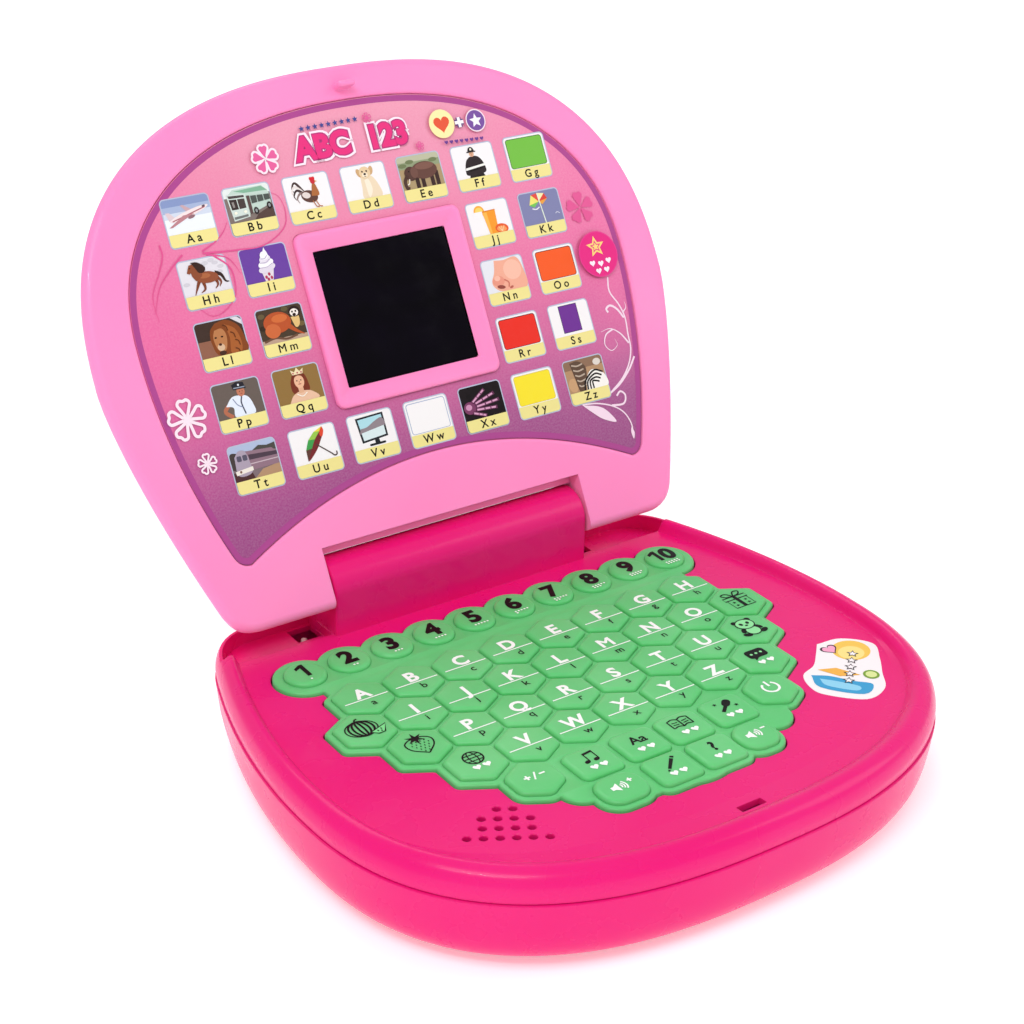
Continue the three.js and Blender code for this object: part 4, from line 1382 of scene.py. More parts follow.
def draw_airplane(art):
    art.sky(1.4, "cdd5e6").sky(3.2, "a3b1d2").sky(5.2, "8494c0")
    art.fill([(-7.4, 3.6), (-6.0, 3.5), (-4.2, 1.4), (-6.6, 0.9)], "d9c3c9")
    art.fill([(-1.8, 5.2), (-0.9, 5.3), (2.2, 3.1), (0.2, 2.5)], "c6a3ab")
    art.blob(0.5, 2.3, 7.2, 1.0, "eddcde", 14)
    art.stroke([(-5.6, 0.6), (6.4, 3.6)], 0.35, "a95f69")
    art.fill([(-7.2, -1.2), (-6.0, -1.2), (2.4, 2.2), (-1.6, 2.0)], "b98088")
    art.blob(1.1, 1.2, 1.3, 0.5, "8f6a74", 14)
    art.blob(5.9, 3.9, 0.6, 0.3, "5b4c5c", 14)


def draw_bus(art):
    art.sky(4.6, "dfe6e4")
    art.fill([(0.6, -3.5), (8.1, -3.5), (8.1, 0.4), (2.4, -1.8)], "54413c")
    art.fill([(-6.8, 5.4), (-4.6, 7.0), (5.8, 7.0), (7.7, 4.6), (7.7, 0.8), (-0.6, -1.6)], "bdd1c7")
    art.fill([(-4.4, 6.5), (5.6, 6.8), (7.5, 5.2), (-0.8, 5.5)], "7fae93")
    art.fill([(-7.2, 5.7), (-6.4, -2.9), (-0.6, -2.2), (-0.6, 5.3)], "cbd8d2")
    art.fill([(-6.7, 5.3), (-6.5, 4.4), (-1.1, 4.2), (-1.1, 4.9)], "4c4444")
    art.fill([(-6.6, 4.1), (-6.3, 0.7), (-3.9, 0.7), (-4.0, 3.9)], "39302f")
    art.fill([(-3.7, 3.9), (-3.6, 0.7), (-1.2, 0.8), (-1.2, 3.8)], "473c3a")
    art.fill([(-5.9, 3.2), (-5.7, 1.4), (-5.0, 1.4), (-5.1, 3.2)], "8d8784")
    art.fill([(-6.2, -1.6), (-6.1, -2.4), (-1.2, -2.0), (-1.2, -1.3)], "6f7371")
    for x in (-5.3, -1.9):
        art.blob(x, -0.4, 0.55, 0.42, "f3efdc")
    art.fill([(-0.4, 4.5), (-0.4, -1.6), (0.7, -1.3), (0.7, 4.4)], "5a4644")
    for x in (1.0, 3.3, 5.6):
        art.fill([(x, 4.3 - 0.05 * x), (x, 1.7 + 0.07 * x), (x + 2.0, 1.84 + 0.07 * x),
                  (x + 2.0, 4.2 - 0.05 * x)], "4d5450")
    for x, y in ((1.9, -0.7), (6.8, 0.3)):
        art.blob(x, y, 0.85, 1.15, "241f20").blob(x, y, 0.4, 0.6, "8f9294")


def draw_rooster(art):
    for reach, rise, colour in ((-5.3, 4.6, "4a3836"), (-5.6, 3.4, "e2d8d5"), (-5.2, 2.2, "3c2c2c"),
                                (-4.3, 1.1, "8a7672")):
        feather = [(-0.6, 0.8), (reach + 1.6, rise + 0.9), (reach, rise - 0.6), (reach + 0.5, rise - 2.2)]
        art.line(feather, 1.1, colour, taper=True)
    art.blob(0.2, 0.6, 3.0, 2.0, "5d3f38", -15).blob(-0.9, 1.1, 1.5, 1.0, "ddd0cc", -15)
    art.smooth([(1.0, 0.6), (3.8, 0.6), (3.4, 3.6), (2.6, 5.0), (1.8, 3.6)], "a9683c")
    art.blob(2.6, 5.2, 0.9, 0.85, "c4303a")
    for x in (1.9, 2.5, 3.1):
        art.blob(x, 6.1, 0.38, 0.6, "d32534")
    art.fill([(3.3, 5.4), (3.3, 4.9), (4.2, 5.0)], "dba04c")
    for x in (0.9, 2.0):
        art.stroke([(x, -1.0), (x + 0.9, -3.0), (x + 1.9, -3.2)], 0.35, "b06a42")


def draw_puppy(art):
    art.smooth([(-1.4, 3.6), (2.4, 3.8), (4.6, 0.4), (4.9, -3.6), (-1.6, -3.6), (-1.6, 0.2)], "e7d3b6")
    art.smooth([(-0.2, 2.4), (1.4, 2.6), (2.0, -1.0), (0.2, -3.2)], "f1e4cf")
    art.blob(-1.6, 5.0, 0.85, 1.5, "cba477", 20).blob(2.9, 5.3, 0.85, 1.5, "cba477", -16)
    art.blob(0.6, 4.9, 2.1, 2.0, "e3c7a0").blob(0.5, 4.1, 1.1, 0.85, "f1e0c6")
    for x in (-0.25, 1.35):
        art.blob(x, 5.3, 0.3, 0.32, "32241e")
    art.blob(0.5, 4.4, 0.48, 0.36, "271b18").stroke([(0.1, 3.6), (0.9, 3.6)], 0.16, "5a4238")


def draw_elephant(art):
    art.sky(3.4, "8f9a78").sky(5.6, "b7b79c")
    for x, y in ((-6.4, 4.6), (-3.4, 5.6), (5.6, 5.2)):
        art.blob(x, y, 1.6, 0.7, "6f7a55")
    for x in (-2.8, -0.6, 3.0, 5.0):
        art.fill(rectangle(x, x + 1.5, -3.4, 1.4), "3b2825")
    art.blob(1.4, 2.2, 5.0, 2.9, "63423a").blob(1.8, 3.6, 3.6, 1.2, "7c564b")
    art.blob(-4.0, 1.7, 2.4, 2.4, "533831").blob(-2.6, 1.9, 1.4, 1.9, "6e4b42")
    art.line([(-5.4, 1.4), (-6.8, -0.6), (-6.6, -2.8), (-5.6, -3.2)], 1.2, "4b322c")
    art.line([(-5.0, 0.0), (-5.4, -1.4), (-6.2, -1.8)], 0.4, "eadfd0").blob(-4.6, 2.5, 0.25, 0.25, "1f1513")


def draw_firefighter(art):
    art.fill([(-2.8, -2.2), (2.4, -2.2), (3.0, -3.5), (-3.2, -3.5)], "221b1d")
    art.smooth([(-1.6, 3.6), (1.0, 3.7), (2.8, 2.4), (3.9, -0.6), (3.0, -2.4), (-3.4, -2.6), (-4.2, -0.8),
                (-3.2, 2.3)], "2b2225")
    art.fill([(-3.9, 0.0), (3.7, 0.7), (3.8, 0.0), (-4.1, -0.8)], "ecebe6")
    art.stroke([(-2.6, -1.2), (2.8, -0.6)], 0.35, "0f0c0d")
    art.blob(-0.4, 4.7, 0.95, 1.15, "dba98a")
    art.calm_face(-0.4, 4.6, 0.9)
    art.fill(ellipse(-0.4, 5.3, 1.3, 1.6, start=0, end=math.pi, steps=14), "262223")
    art.fill(rounded_rectangle(-2.2, 1.4, 5.05, 5.4, 0.16), "262223").blob(-0.4, 6.1, 0.4, 0.4, "e9e4d2")


def draw_horse(art):
    for x, y in ((4.6, 5.6), (6.2, 4.2), (5.4, 2.6), (3.4, 6.6), (-6.6, 0.4), (1.2, 6.0)):
        art.blob(x, y, 1.1, 0.6, "cdc9d2")
    art.line([(3.6, 2.5), (5.6, 1.6), (6.6, -0.6), (7.8, -1.0)], 1.5, "33211d", taper=True)
    for leg in ([(-2.0, 1.2), (-3.4, -1.2), (-4.6, -3.3)], [(-1.0, 0.8), (-0.8, -1.8), (-2.4, -2.9)],
                [(3.0, 1.4), (3.8, -1.0), (2.6, -2.4)], [(3.6, 1.6), (5.0, -0.4), (4.2, -2.0)]):
        art.line(leg, 1.3, "7a3f29", taper=True)
    art.blob(0.7, 1.6, 3.9, 1.85, "8f4d32", -4).blob(-0.2, 2.2, 2.2, 0.8, "a9633f", -4)
    art.smooth([(-3.2, 1.0), (-0.6, 2.6), (-2.2, 5.6), (-4.0, 5.4), (-4.2, 3.0)], "8a4a30")
    art.fill([(-3.0, 6.4), (-4.4, 6.2), (-5.6, 3.9), (-4.8, 3.4), (-3.2, 4.6)], "8a4a30")
    art.smooth([(-3.6, 6.9), (-1.4, 6.7), (0.8, 4.9), (0.2, 3.4), (-1.6, 3.4), (-2.6, 5.2)], "38231e")
    art.blob(-4.3, 5.2, 0.2, 0.2, "1a100e")


def draw_ice_cream(art):
    art.fill([(-2.0, -0.2), (2.4, 0.0), (1.4, -3.5), (-1.3, -3.5)], "ddd3dc")
    for x, y in ((-0.8, -2.2), (0.4, -1.4), (1.0, -2.6), (-0.2, -3.0)):
        art.blob(x, y, 0.45, 0.55, "b03a58")
    for y, reach, colour in ((0.6, 3.1, "dcd3e2"), (2.1, 2.8, "f3eff5"), (3.5, 2.0, "e2dbe8"),
                             (4.7, 1.4, "f5f2f7")):
        art.blob(0.2, y, reach, 1.35, colour, 12)
    art.smooth([(-0.8, 5.2), (1.4, 5.2), (1.0, 6.4), (0.7, 7.2), (0.2, 6.2)], "efebf4")
    for y, reach in ((1.4, 2.4), (2.9, 1.9), (4.2, 1.2)):
        art.line([(-reach, y - 0.4), (0.2, y - 0.5), (reach, y + 0.4)], 0.22, "b3a6c4")


def draw_juice(art):
    art.blob(-3.4, 4.7, 2.1, 2.0, "f0a93a").blob(-3.4, 4.7, 1.5, 1.4, "f8d06a")
    art.fill(rectangle(-6, -2.3, 2.4, 4.6), CARD_WHITE)
    art.fill([(-2.3, 4.4), (2.9, 4.5), (2.4, -3.5), (-1.2, -3.5)], "ee962c")
    art.fill([(-2.1, 4.0), (-0.6, 4.0), (-0.2, -3.5), (-1.1, -3.5)], "f6b450")
    art.stroke([(-2.3, 4.4), (2.9, 4.5)], 0.3, "d87c22")
    art.blob(3.9, -2.2, 2.6, 1.6, "e25a2a", -8).blob(3.8, -2.4, 1.9, 1.0, "f39a5a", -8)
    for x in (2.7, 3.8, 4.9):
        art.stroke([(3.8, -3.2), (x, -1.5)], 0.18, "fbd9b0")


def draw_kite(art):
    centre = (-0.3, 4.1)
    panels = (((-2.9, 6.7), (-0.2, 7.1), "dd4a3e"), ((-4.4, 3.3), (-2.9, 6.7), "e9dd72"),
              ((-2.6, 2.3), (-4.4, 3.3), "6fbf58"), ((-0.2, 7.1), (2.5, 6.6), "efe6ac"),
              ((2.5, 6.6), (3.4, 4.7), "d5423a"), ((3.4, 4.7), (0.9, 2.9), "e59d42"))
    for first, second, colour in panels:
        art.fill([centre, second, first], colour)
    art.stroke([(-0.3, 7.1), (0.6, -3.5)], 0.4, "dfe8d8")
    art.line([(-3.6, 2.0), (-2.0, 1.6), (-0.6, 2.2)], 0.4, "e6e2ee")
    art.line([(5.2, -1.0), (6.0, -0.6), (7.0, -1.2)], 0.3, "c9cadf")


def draw_lion(art):
    art.fill(rectangle(-8.1, -1.4, -3.5, 1.8), "8d5e4b")
    art.fill([(4.4, 7.5), (6.9, 7.5), (8.1, 6.4), (8.1, 4.8)], "d9d4dc")
    art.smooth([(-1.0, 6.8), (3.0, 7.2), (6.6, 4.8), (7.9, 0.6), (7.6, -3.5), (-1.6, -3.5), (-3.6, 0.6),
                (-3.2, 4.6)], "81431f")
    art.smooth([(2.0, 6.0), (5.2, 4.0), (6.4, 0.0), (5.6, -3.4), (2.2, -3.4), (2.8, 1.6)], "a35c2e")
    art.smooth([(-1.8, 4.6), (0.8, 4.8), (1.9, 2.4), (1.0, -1.4), (-0.8, -2.6), (-2.3, -0.8), (-2.7, 2.4)],
               "b4774b")
    art.blob(-0.8, -0.9, 1.25, 1.15, "d3b191").blob(-0.9, 0.0, 0.55, 0.4, "4a2a20")
    art.blob(-0.7, -2.7, 1.2, 0.7, "432a1f")
    for x in (-1.9, 0.3):
        art.blob(x, 2.3, 0.42, 0.25, "22130f")
    for x, y in ((3.4, 3.2), (4.4, 0.6), (3.8, -2.0), (1.4, 5.8)):
        art.line([(x, y), (x + 1.0, y - 0.6), (x + 1.3, y - 2.0)], 0.35, "5f2f16")


def draw_monkey(art):
    for x, y, colour in ((-6.4, 5.6, "63553a"), (2.2, 6.6, "5d5236"), (6.9, 1.0, "6b5a38"),
                         (-6.8, 1.8, "33281e")):
        art.blob(x, y, 1.2, 0.8, colour)
    art.fill(rectangle(-8.1, 8.1, -3.5, -2.2), "b79a86")
    art.line([(-7.4, -2.6), (-3.4, -1.9), (0.6, -2.8), (4.6, -2.2)], 0.7, "6a4a3a")
    art.line([(1.6, 1.8), (4.4, -0.8), (7.0, -2.4)], 1.9, "b0512a", taper=True)
    art.blob(-1.4, 2.8, 4.9, 3.4, "b4512a").blob(-3.6, 0.4, 2.7, 2.3, "c7663a")
    art.blob(-0.4, 4.0, 2.8, 1.3, "cc6a38")
    art.smooth([(3.6, 3.6), (6.4, 3.8), (6.2, 1.0), (4.6, 0.2)], "dcb878")
    art.blob(5.4, 5.2, 2.0, 1.75, "2a1d1a").blob(5.2, 4.9, 1.5, 1.2, "f0e6de")
    art.blob(5.1, 4.2, 0.62, 0.5, "2a1d1a")
    for x in (4.6, 5.8):
        art.blob(x, 5.2, 0.32, 0.34, "1c1311")


def draw_nose(art):
    art.smooth([(-2.8, 7.3), (1.0, 6.9), (6.0, 7.2), (7.9, 3.0), (7.9, -3.4), (0.6, -3.5), (-3.0, -3.2),
                (-5.2, -1.4), (-5.4, 0.6), (-3.8, 3.4)], "eba891")
    art.blob(3.6, 3.2, 3.6, 3.4, "f0b9a4").blob(-2.9, 0.2, 2.4, 1.8, "e3937f")
    art.blob(-3.2, 1.2, 1.2, 0.9, "f2b6a2")
    art.line([(-0.6, 0.4), (0.9, -0.8), (0.6, -2.4)], 0.5, "c9705f")
    art.blob(-2.4, -1.9, 1.6, 0.65, "8f443c", -12).blob(1.6, -2.6, 0.8, 0.4, "b65f52", 15)


def draw_officer(art):
    art.line([(-3.8, 0.6), (-5.2, -1.2), (-3.0, -3.3)], 1.3, "b06a50")
    art.smooth([(-4.6, 0.4), (-2.0, 2.9), (1.0, 3.0), (3.4, 2.2), (4.6, -0.4), (4.4, -3.5), (-2.0, -3.5),
                (-2.2, -0.4)], "dfe6f3")
    art.line([(1.4, 2.6), (0.8, 0.6), (1.4, -3.0)], 0.45, "3a3f52")
    art.line([(-1.8, 2.4), (-0.6, 0.2), (1.0, -0.8)], 0.3, "7e88a8")
    art.blob(1.5, 4.2, 1.4, 1.6, "bd775d")
    art.calm_face(1.6, 4.0, 1.1)
    art.fill([(-0.8, 5.0), (3.6, 4.9), (3.2, 5.8), (3.0, 6.9), (0.6, 7.3), (-1.2, 6.6)], "24232b")
    art.stroke([(-0.7, 5.5), (3.2, 5.4)], 0.35, "8c96a8").blob(1.2, 6.3, 0.35, 0.35, "d9dce4")


def draw_queen(art):
    art.smooth([(-1.4, 5.2), (0.6, 6.2), (2.8, 5.2), (3.7, 2.2), (3.3, -0.6), (-1.9, -0.8), (-2.6, 2.4)],
               "74311f")
    art.smooth([(-4.4, -3.5), (-2.6, -1.2), (0.0, -0.2), (1.6, -0.2), (4.4, -1.0), (6.0, -3.5)], "e3b99c")
    art.fill(rectangle(-0.3, 1.5, -0.8, 1.6), "d9a788").blob(0.6, 2.9, 1.75, 2.15, "e6b292")
    art.calm_face(0.6, 2.9, 1.7)
    art.line([(-1.4, 4.6), (0.6, 5.2), (2.6, 4.5)], 0.7, "74311f")
    art.fill([(-1.2, 5.2), (2.5, 5.2), (3.0, 6.9), (1.6, 6.1), (0.7, 7.4), (-0.3, 6.1), (-1.6, 6.9)],
             "e9d7b0")
    for x in (-0.8, 0.7, 2.1):
        art.blob(x, 5.7, 0.28, 0.28, "b8445e")
    art.line([(-1.2, -1.0), (0.6, -1.9), (2.4, -1.0)], 0.3, "f6eee2")


def draw_train(art):
    art.sky(4.8, "aab7d4")
    art.smooth([(-8.0, 0.4), (-8.0, 5.2), (-5.8, 5.4), (-4.8, 3.8), (-5.0, 0.0)], "443c3a")
    art.fill([(0.0, 5.2), (2.4, 6.4), (5.2, 5.8), (8.1, 6.2), (8.1, 4.0), (0.0, 4.6)], "4a4844")
    art.fill([(-1.2, -3.5), (8.1, -3.5), (8.1, -0.4), (2.0, -1.2)], "ae8a6c")
    art.fill([(-8.1, -3.5), (-1.2, -3.5), (-2, -0.8), (-8.1, -0.6)], "4b2d2e")
    art.fill([(-2.6, 5.4), (6.6, 4.7), (8.1, 3.3), (8.1, -0.6), (-1.9, -0.8)], "8d6f7e")
    art.fill([(-1.8, 4.2), (8.1, 3.4), (8.1, 2.2), (-1.7, 2.5)], "4c3c49")
    art.stroke([(-1.8, 1.2), (8.0, 1.2)], 0.3, "c8b3bd")
    art.smooth([(-6.6, 4.2), (-4.8, 5.9), (-2.6, 5.4), (-1.8, 2.0), (-2.0, -1.6), (-6.6, -1.6)], "a799ab")
    for x in (-5.1, -3.1):
        art.fill(rounded_rectangle(x - 0.8, x + 0.8, 2.6, 4.4, 0.4), "575264")
    art.fill([(-7.4, -0.2), (-1.2, 0.4), (-1.2, -0.9), (-7.2, -1.5)], "e8dfd6")
    art.blob(-5.6, -0.6, 0.4, 0.4, "7b5a50")


def draw_umbrella(art):
    spokes = [(4.0, 7.2), (0.8, 6.0), (-1.8, 3.8), (-3.4, 0.8), (-3.6, -2.8)]
    inner = [(4.0, 7.2), (2.9, 5.8), (0.6, 3.6), (-1.2, 1.0), (-3.6, -2.8)]
    for i, colour in enumerate(("e6d54a", "94c24c", "3f9a4c", "5d3a33")):
        art.fill([spokes[i], spokes[i + 1], inner[i + 1], inner[i]], colour)
    art.smooth([(4.0, 7.2), (4.2, 5.6), (2.6, 3.0), (0.2, 0.0), (-3.4, -2.8), (-1.2, 1.0), (0.6, 3.6),
                (2.9, 5.8)], "74262a")
    art.smooth([(4.0, 7.2), (4.3, 5.8), (3.4, 4.0), (2.6, 4.6), (3.0, 6.0)], "d8452e")
    art.stroke([(0.6, 2.0), (5.2, -2.0)], 0.4, "4a3a34")
    art.line([(5.2, -2.0), (6.0, -2.8), (6.9, -2.6), (7.0, -1.6)], 0.45, "4a3a34")


def draw_monitor(art):
    art.fill([(-5.2, 6.6), (5.2, 6.9), (5.2, -1.0), (-4.6, -1.7)], "24282d")
    art.fill([(-4.5, 6.0), (4.5, 6.3), (4.5, -0.4), (-3.9, -1.0)], "a9d5e0")
    art.smooth([(-4.1, 3.0), (-1.6, 3.2), (1.6, 4.6), (4.4, 5.2), (4.4, 2.2), (-4.0, 1.2)], "8d8088")
    art.fill([(-4.05, 1.6), (4.5, 2.6), (4.5, -0.4), (-3.9, -1.0)], "d3e3e6")
    art.fill([(0.0, -1.3), (1.6, -1.2), (1.8, -2.6), (0.0, -2.6)], "1f2226")
    art.fill(rounded_rectangle(-2.2, 3.8, -3.1, -2.4, 0.3), "1f2226")


def draw_hand_bones(art):
    art.blob(-5.2, 0.6, 2.4, 2.1, "7a3b62").blob(-5.6, 0.9, 1.2, 1.0, "c98ab0")
    fingers = (((-4.0, 2.2), (1.8, 5.8)), ((-3.2, 1.6), (5.2, 3.9)), ((-3.0, 0.6), (6.6, 1.4)),
               ((-3.2, -0.4), (5.2, -1.0)), ((-4.6, -1.2), (0.4, -3.0)))
    for (x0, y0), (x1, y1) in fingers:
        art.stroke([(x0, y0), (x1, y1)], 1.2, "5d2a4c")
        for start, end in ((0.05, 0.38), (0.43, 0.66), (0.71, 0.92)):
            ends = [(x0 + (x1 - x0) * t, y0 + (y1 - y0) * t) for t in (start, end)]
            art.stroke(ends, 0.6, "d59abd")


def draw_zebra(art):
    art.sky(4.4, "8a6a54")
    art.blob(-5.8, -0.8, 2.0, 2.4, "c49a72").blob(5.8, 5.4, 1.6, 1.2, "d9cfc6")
    art.smooth([(-5.4, 6.8), (-2.0, 7.0), (0.8, 4.6), (0.0, 0.0), (-1.8, -3.3), (-3.8, -3.3), (-4.6, 1.6)],
               "5c4638")
    for i in range(5):
        stripe = [(-4.8 + 0.3 * i, 6.0 - 1.8 * i), (-2.6, 5.4 - 1.8 * i), (-0.2, 5.8 - 1.8 * i)]
        art.line(stripe, 0.5, "b7a493")
    art.smooth([(-0.8, -3.5), (0.0, 0.4), (2.6, 3.0), (5.6, 2.4), (7.9, 0.2), (7.9, -3.5)], "f1ede8")
    for i in range(4):
        reach = 1.3 + 1.25 * i
        stripe = [(3.4 - reach, -3.4), (3.2 - 0.75 * reach, -1.2 + 0.2 * reach), (3.8, -2.4 + reach),
                  (4.2 + 0.6 * reach, -2.6 + 0.8 * reach)]
        art.line(stripe, 0.6, "1c1718")


def colour_square(colour, outline):
    """The drawing for a square that is one plain colour."""
    def draw(art):
        art.fill(rounded_rectangle(-7.5, 7.5, -3.3, 7.0, 1.0), outline)
        art.fill(rounded_rectangle(-7.25, 7.25, -3.1, 6.75, 0.8), colour)
    return draw


def draw_square(art):
    art.fill(rectangle(-4.0, 3.7, -2.6, 7.0), "2f1a4a").fill(rectangle(-3.8, 3.5, -2.4, 6.8), "6c3090")


# Each square's row above the lowest, column from the middle, letter, ground colour and drawing.
picture_squares = (
    (4, -3, "A", "e9edf4", draw_airplane),
    (4, -2, "B", "7d6f6a", draw_bus),
    (4, -1, "C", CARD_WHITE, draw_rooster),
    (4, 0, "D", CARD_WHITE, draw_puppy),
    (4, 1, "E", "a8916c", draw_elephant),
    (4, 2, "F", CARD_WHITE, draw_firefighter),
    (4, 3, "G", CARD_WHITE, colour_square("72b944", "3f6a2c")),
    (3, -3, "H", "dedae2", draw_horse),
    (3, -2, "I", "68409c", draw_ice_cream),
    (3, 2, "J", CARD_WHITE, draw_juice),
    (3, 3, "K", "7d7fa8", draw_kite),
    (2, -3, "L", "3f2e27", draw_lion),
    (2, -2, "M", "46382a", draw_monkey),
    (2, 2, "N", "dfe0e8", draw_nose),
    (2, 3, "O", CARD_WHITE, colour_square("ee5a24", "6e2c1c")),
    (1, -3, "P", "665a54", draw_officer),
    (1, -2, "Q", "8d6d3c", draw_queen),
    (1, 2, "R", CARD_WHITE, colour_square("e42e22", "5c1a1c")),
    (1, 3, "S", CARD_WHITE, draw_square),
    (0, -3, "T", "7b6a70", draw_train),
    (0, -2, "U", CARD_WHITE, draw_umbrella),
    (0, -1, "V", CARD_WHITE, draw_monitor),
    (0, 0, "W", CARD_WHITE, colour_square("f1edef", "9aa8c8")),
    (0, 1, "X", "120a0e", draw_hand_bones),
    (0, 2, "Y", CARD_WHITE, colour_square("f2dc30", "d8c24a")),
    (0, 3, "Z", "b08a68", draw_zebra),
)


def pictures(build):
    for row, column, letter, ground, draw in picture_squares:
        art = Picture(build, column * PICTURE_STEP_X, LOWEST_PICTURE + row * PICTURE_STEP_RUN, ground)
        draw(art)
        art.caption(f"{letter} {letter.lower()}")


def petals(x, y, size):
    """Outlines of the petals of a flower, each widest near its tip."""
    profile = ((0.08, 0), (0.5, 0.2), (0.82, 0.34), (1.0, 0.2), (0.96, 0), (1.0, -0.2), (0.82, -0.34),
               (0.5, -0.2), (0.08, 0))
    shapes = []
    for i in range(5):
        angle = math.radians(18 + 72 * i)
        along, across = math.cos(angle), math.sin(angle)
        edge = [(x + size * (u * along - v * across), y + size * (u * across + v * along))
                for u, v in profile]
        shapes.append(curve_through(edge, 4)[:-1])
    return shapes


def flower(art, x, y, size, outline, inside, width):
    """Five outlined petals, filled where an inside colour is given."""
    for petal in petals(x, y, size):
        art.stroke(petal, width, outline, closed=True)
        if inside:
            art.fill(petal, inside)


def swirls(art):
    """A pale curling stem with leaves at the right, and rose curls at the upper left."""
    pale = "f0d5e6"
    stem = [(84, 75), (83.2, 70), (85.6, 65), (86.8, 60), (86.2, 54), (85.8, 49), (83.4, 44), (79, 39.5),
            (73.2, 36)]
    art.line(stem, 0.55, pale).line([(86.4, 46), (82.8, 42), (77.6, 38), (72.4, 35.6)], 0.7, pale)
    art.line([(86.3, 60), (84.4, 63.4), (82, 65.2), (80, 64.4), (80.4, 63)], 0.75, pale)
    art.line([(85.6, 51), (83, 55), (79.4, 57.4), (75.2, 57)], 0.7, pale, taper=True)
    art.line([(80.4, 57), (77, 55.6), (75.6, 52.4), (77.6, 49.9), (80.6, 51.2), (80.2, 53.6)], 0.6, pale,
             taper=True)
    art.line([(86.6, 62), (88.2, 63.4), (88.2, 65.6)], 0.5, pale, taper=True)
    art.line([(60, 34.2), (66, 33.4), (72, 31.2), (76, 28), (77.8, 23.6), (77.4, 19.6)], 0.5, pale)
    art.line([(71.8, 31.4), (76.8, 31), (78.4, 33.6), (76.8, 35.4), (74.8, 34.2)], 0.7, pale)
    art.fill(curve_through([(60, 34), (66, 32.4), (69.4, 30), (72, 25.6), (67, 27.6), (63.4, 30.6),
                            (60, 34)], 5)[:-1][::-1], pale)
    art.fill(curve_through([(77.4, 22.4), (78.2, 20.4), (77.2, 18.2), (76.8, 20.6), (77.4, 22.4)], 4)[:-1],
             pale)
    rose = "dd5590"
    for curl in (
        [(-63, 111.2), (-57.8, 113.4), (-54.2, 116), (-52, 118.8)],
        [(-63, 110.6), (-52, 109.6), (-41.6, 109.4), (-33.4, 113.4), (-31.2, 118.4), (-32, 123.4),
         (-34.6, 125.4)],
        [(-62, 110), (-55, 107.6), (-52, 101.8)],
        [(-60, 109.6), (-55.4, 105), (-54.8, 100), (-56.4, 95), (-61.4, 91.4), (-65.6, 91), (-68.8, 93.8)],
        [(-76.4, 115.6), (-76.4, 112), (-78.8, 107.4), (-83, 100.4), (-83.2, 92.4)],
        [(-69.8, 111.4), (-75.4, 107.2), (-80.2, 102.4), (-83.6, 95.2)],
    ):
        art.line(curl, 0.6, rose, taper=True)


def title(art):
    """Big rounded letters and numbers with a white surround, under a row of small stars."""
    for text, x in (("ABC", -12.4), ("123", 13.0)):
        for boldness, colour in ((0.15, "f7e3ee"), (0.085, "b23a78"), (0.045, "e2337c")):
            art.text(text, x, 133.6, 7.6, colour, boldness)
    for i in range(9):
        art.fill(star(-18 + 2.5 * i, 143.6 + 0.03 * i, 1.05), "454a8e")
    flower(art, -33.5, 136.0, 4.3, "f5dfea", TITLE_ROSE, 1.4)
    flower(art, 6.4, 143.6, 1.6, TITLE_ROSE, None, 0.3)
    flower(art, 23.4, 131.4, 1.4, TITLE_ROSE, None, 0.3)


def badges(art):
    """Two small discs beside the title with a plus between them, and a third disc at the right."""
    art.blob(33.8, 137.4, 4.9, 4.9, "f7e7a8").fill(heart(33.8, 137, 3.1), "e0563a")
    art.blob(47.2, 136.6, 3.9, 3.9, "f3dfea").blob(47.2, 136.6, 3.5, 3.5, "77509c")
    art.fill(star(47.2, 136.5, 2.5), "f4eef6")
    for width, colour in ((1.9, "4a3a78"), (1.1, "f6eef6")):
        art.stroke([(38.9, 136.9), (42.3, 136.9)], width, colour)
        art.stroke([(40.6, 135.2), (40.6, 138.6)], width, colour)
    for i in range(8):
        art.fill(heart(33.6 + 2.0 * i, 130.9 - 0.1 * i, 0.75), "6a3f8c")
    art.blob(82, 83.5, 8.1, 8.1, "e23a8c").blob(82, 83.5, 7.7, 7.7, "e0287f")
    for size, colour in ((3.9, "f3d27a"), (2.4, "e0287f"), (1.5, "f3d27a")):
        art.fill(star(81.6, 86.2, size), colour)
    for x, y in ((78.6, 80.6), (82.0, 80.0), (85.4, 80.6), (80.4, 77.6), (83.8, 77.6)):
        art.fill(heart(x, y, 1.15), "f4e4ee")


def picture_card():
    """The card in the lid's recess, with everything printed on it."""
    levels = ((0, 8.3), (0, CARD_FACE - 0.06), (0.06, CARD_FACE))
    outer = [flat_ring(card_plan(0.3 + inset), height) for inset, height in levels]
    hole = [flat_ring(screen_plan(FRAME_WIDTH + 0.15, 3.1), height) for _, height in levels]
    build = Build().plate(outer, [hole])
    art = Print(build, 0, 0, CARD_FACE)
    art.fill(card_plan(0.5), "a8478c", holes=[card_plan(2.5)[::-1]])
    swirls(art)
    flower(art, 80.2, 100.7, 5.4, "e2609c", "dd5892", 0.3)
    flower(art, -82.8, 61.3, 6.2, FLOWER_WHITE, None, 1.0)
    flower(art, -80.2, 46.7, 3.1, FLOWER_WHITE, None, 0.6)
    title(art)
    badges(art)
    pictures(build)
    card = build.piece("picture_card_print", [card_print, ink], LID_PLACE)
    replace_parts(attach(card, "lid"), "picture_card")


picture_card()


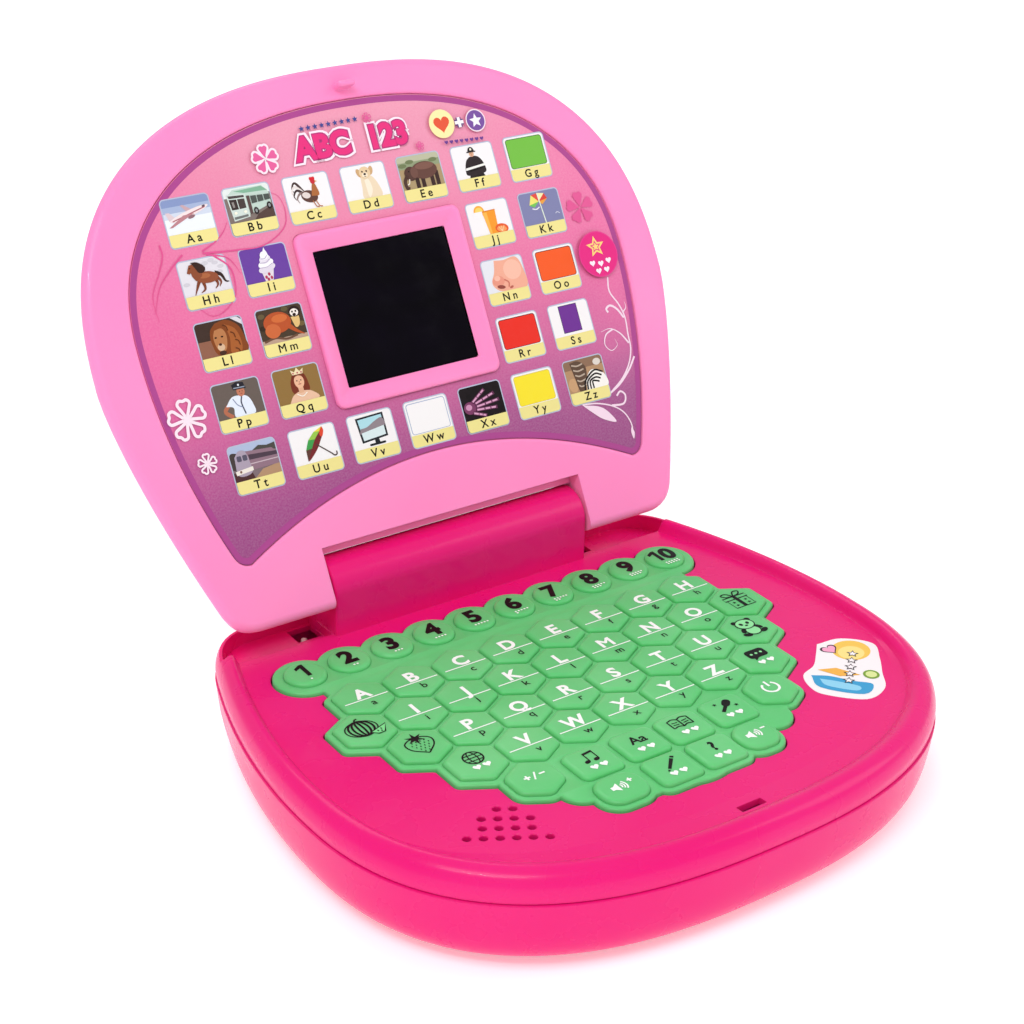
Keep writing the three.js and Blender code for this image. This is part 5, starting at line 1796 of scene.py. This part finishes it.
def panel_sticker():
    """A cut-out sticker beside the keypad: a heart, a sun, a wave and a row of stars."""
    shift = HINGE_Y - 50.0
    border = [(77, -47.6), (86, -49), (92.6, -57), (88, -65), (82.4, -72), (76.6, -79.2), (67.4, -81),
              (58.4, -72), (57.4, -66), (60.4, -59.6), (67, -57), (72.6, -52)]
    edge = moved(curve_through([*border, border[0]], 6)[:-1][::-1], 0, shift)
    rings = [flat_ring(edge, z) for z in (PANEL - 0.05, PANEL + 0.08)]
    build = Build().loft(rings, slot=1, ink="f4eff1")
    art = Print(build, 0, shift, PANEL + 0.06)
    art.blob(83.6, -56.4, 6.4, 6.0, "f0c65a").blob(82.6, -57.6, 4.4, 4.0, "f7e08c")
    art.fill(heart(78.2, -52.6, 3.0), "3c2a38").fill(heart(78.2, -52.6, 2.4), "f4a8c8")
    art.smooth([(62.4, -61), (67, -64.6), (71, -70.6), (75, -75.6), (68.6, -78.4), (60, -68)], "3f9ecf")
    art.smooth([(63.2, -64), (66.6, -68), (70.6, -74.2), (68, -75.6), (62.4, -68.4)], "8fd0ec")
    art.fill([(66.4, -59.6), (72, -62), (75.6, -69.4), (69.6, -66.4)][::-1], "eeb24e")
    art.blob(78.6, -71, 2.6, 2.6, "7aa03a").blob(78.6, -71, 1.8, 1.8, "d9e69a")
    for i in range(5):
        across, along = 82.4 - 3.1 * i, -58.4 - 2.9 * i
        for size, colour in ((2.1, "2c2230"), (1.4, "f7f2f4")):
            art.fill(star(across, along, size, turn=45), colour)
    sticker = build.piece("panel_sticker", [card_print, ink])
    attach(sticker, "base")


panel_sticker()

# ---------------------------------------------------------------- CAD pieces that stay

finishes = {
    "main_circuit_board": board, "speaker_frame": steel, "speaker_cone": black_plastic,
    "aa_cell": cell_jacket, "battery_contact": contact_metal, "foot_pad": rubber, "case_screw": steel,
    "battery_door_screw": steel, "battery_door": base_plastic, "lcd_panel": black_plastic,
    "display_cable": lead_cover, "hinge_pin": steel,
}

for name, obj in frame["nodes"].items():
    found = next((finish for start, finish in finishes.items() if name.startswith(start)), None)
    if found and not obj.hide_render:
        obj.data.materials.clear()
        obj.data.materials.append(found)

# ---------------------------------------------------------------- floor and lights


def make_floor():
    settings = {"Roughness": 0.9, "Emission Color": (1, 1, 1, 1), "Emission Strength": 0.3}
    material, tree, shader = start_material("floor", settings)
    where = object_place(tree)
    soft = spread(tree, noise(tree, where, 3, 2), 0.3, 0.7, 0, 0.3)
    tree.links.new(blend_colours(tree, linear("ffffff"), linear("f6f4f5"), soft), shader.inputs["Base Color"])
    reach = 6000
    floor = Build().add(flat_ring(rectangle(-reach, reach, -reach, reach), 0), [(0, 1, 2, 3)])
    floor.piece("floor", [material])


def area_light(name, place, target, size, power):
    data = bpy.data.lights.new(name, "AREA")
    data.shape = "RECTANGLE"
    data.size, data.size_y = size
    data.energy = power
    light = bpy.data.objects.new(name, data)
    bpy.context.collection.objects.link(light)
    light.location = place
    light.rotation_mode = "QUATERNION"
    light.rotation_quaternion = (Vector(target) - Vector(place)).to_track_quat("-Z", "Y")


def make_lights():
    world = bpy.data.worlds.new("world")
    world.use_nodes = True
    background = world.node_tree.nodes["Background"]
    background.inputs["Color"].default_value = (1, 1, 1, 1)
    background.inputs["Strength"].default_value = 0.62
    bpy.context.scene.world = world
    area_light("key", (-0.7, -0.5, 1.3), (0, 0, 0.05), (0.9, 0.6), 7.6)
    area_light("strip", (-0.75, -0.65, 1.2), (0, 0, 0.05), (0.6, 0.03), 2.2)
    area_light("fill", (1.1, -0.7, 0.9), (0, 0, 0.05), (0.8, 0.8), 4)
    area_light("back", (0.1, 1.0, 1.2), (0, 0, 0.1), (1.0, 0.5), 4)


make_floor()
make_lights()
bpy.context.scene.view_settings.view_transform = "Standard"
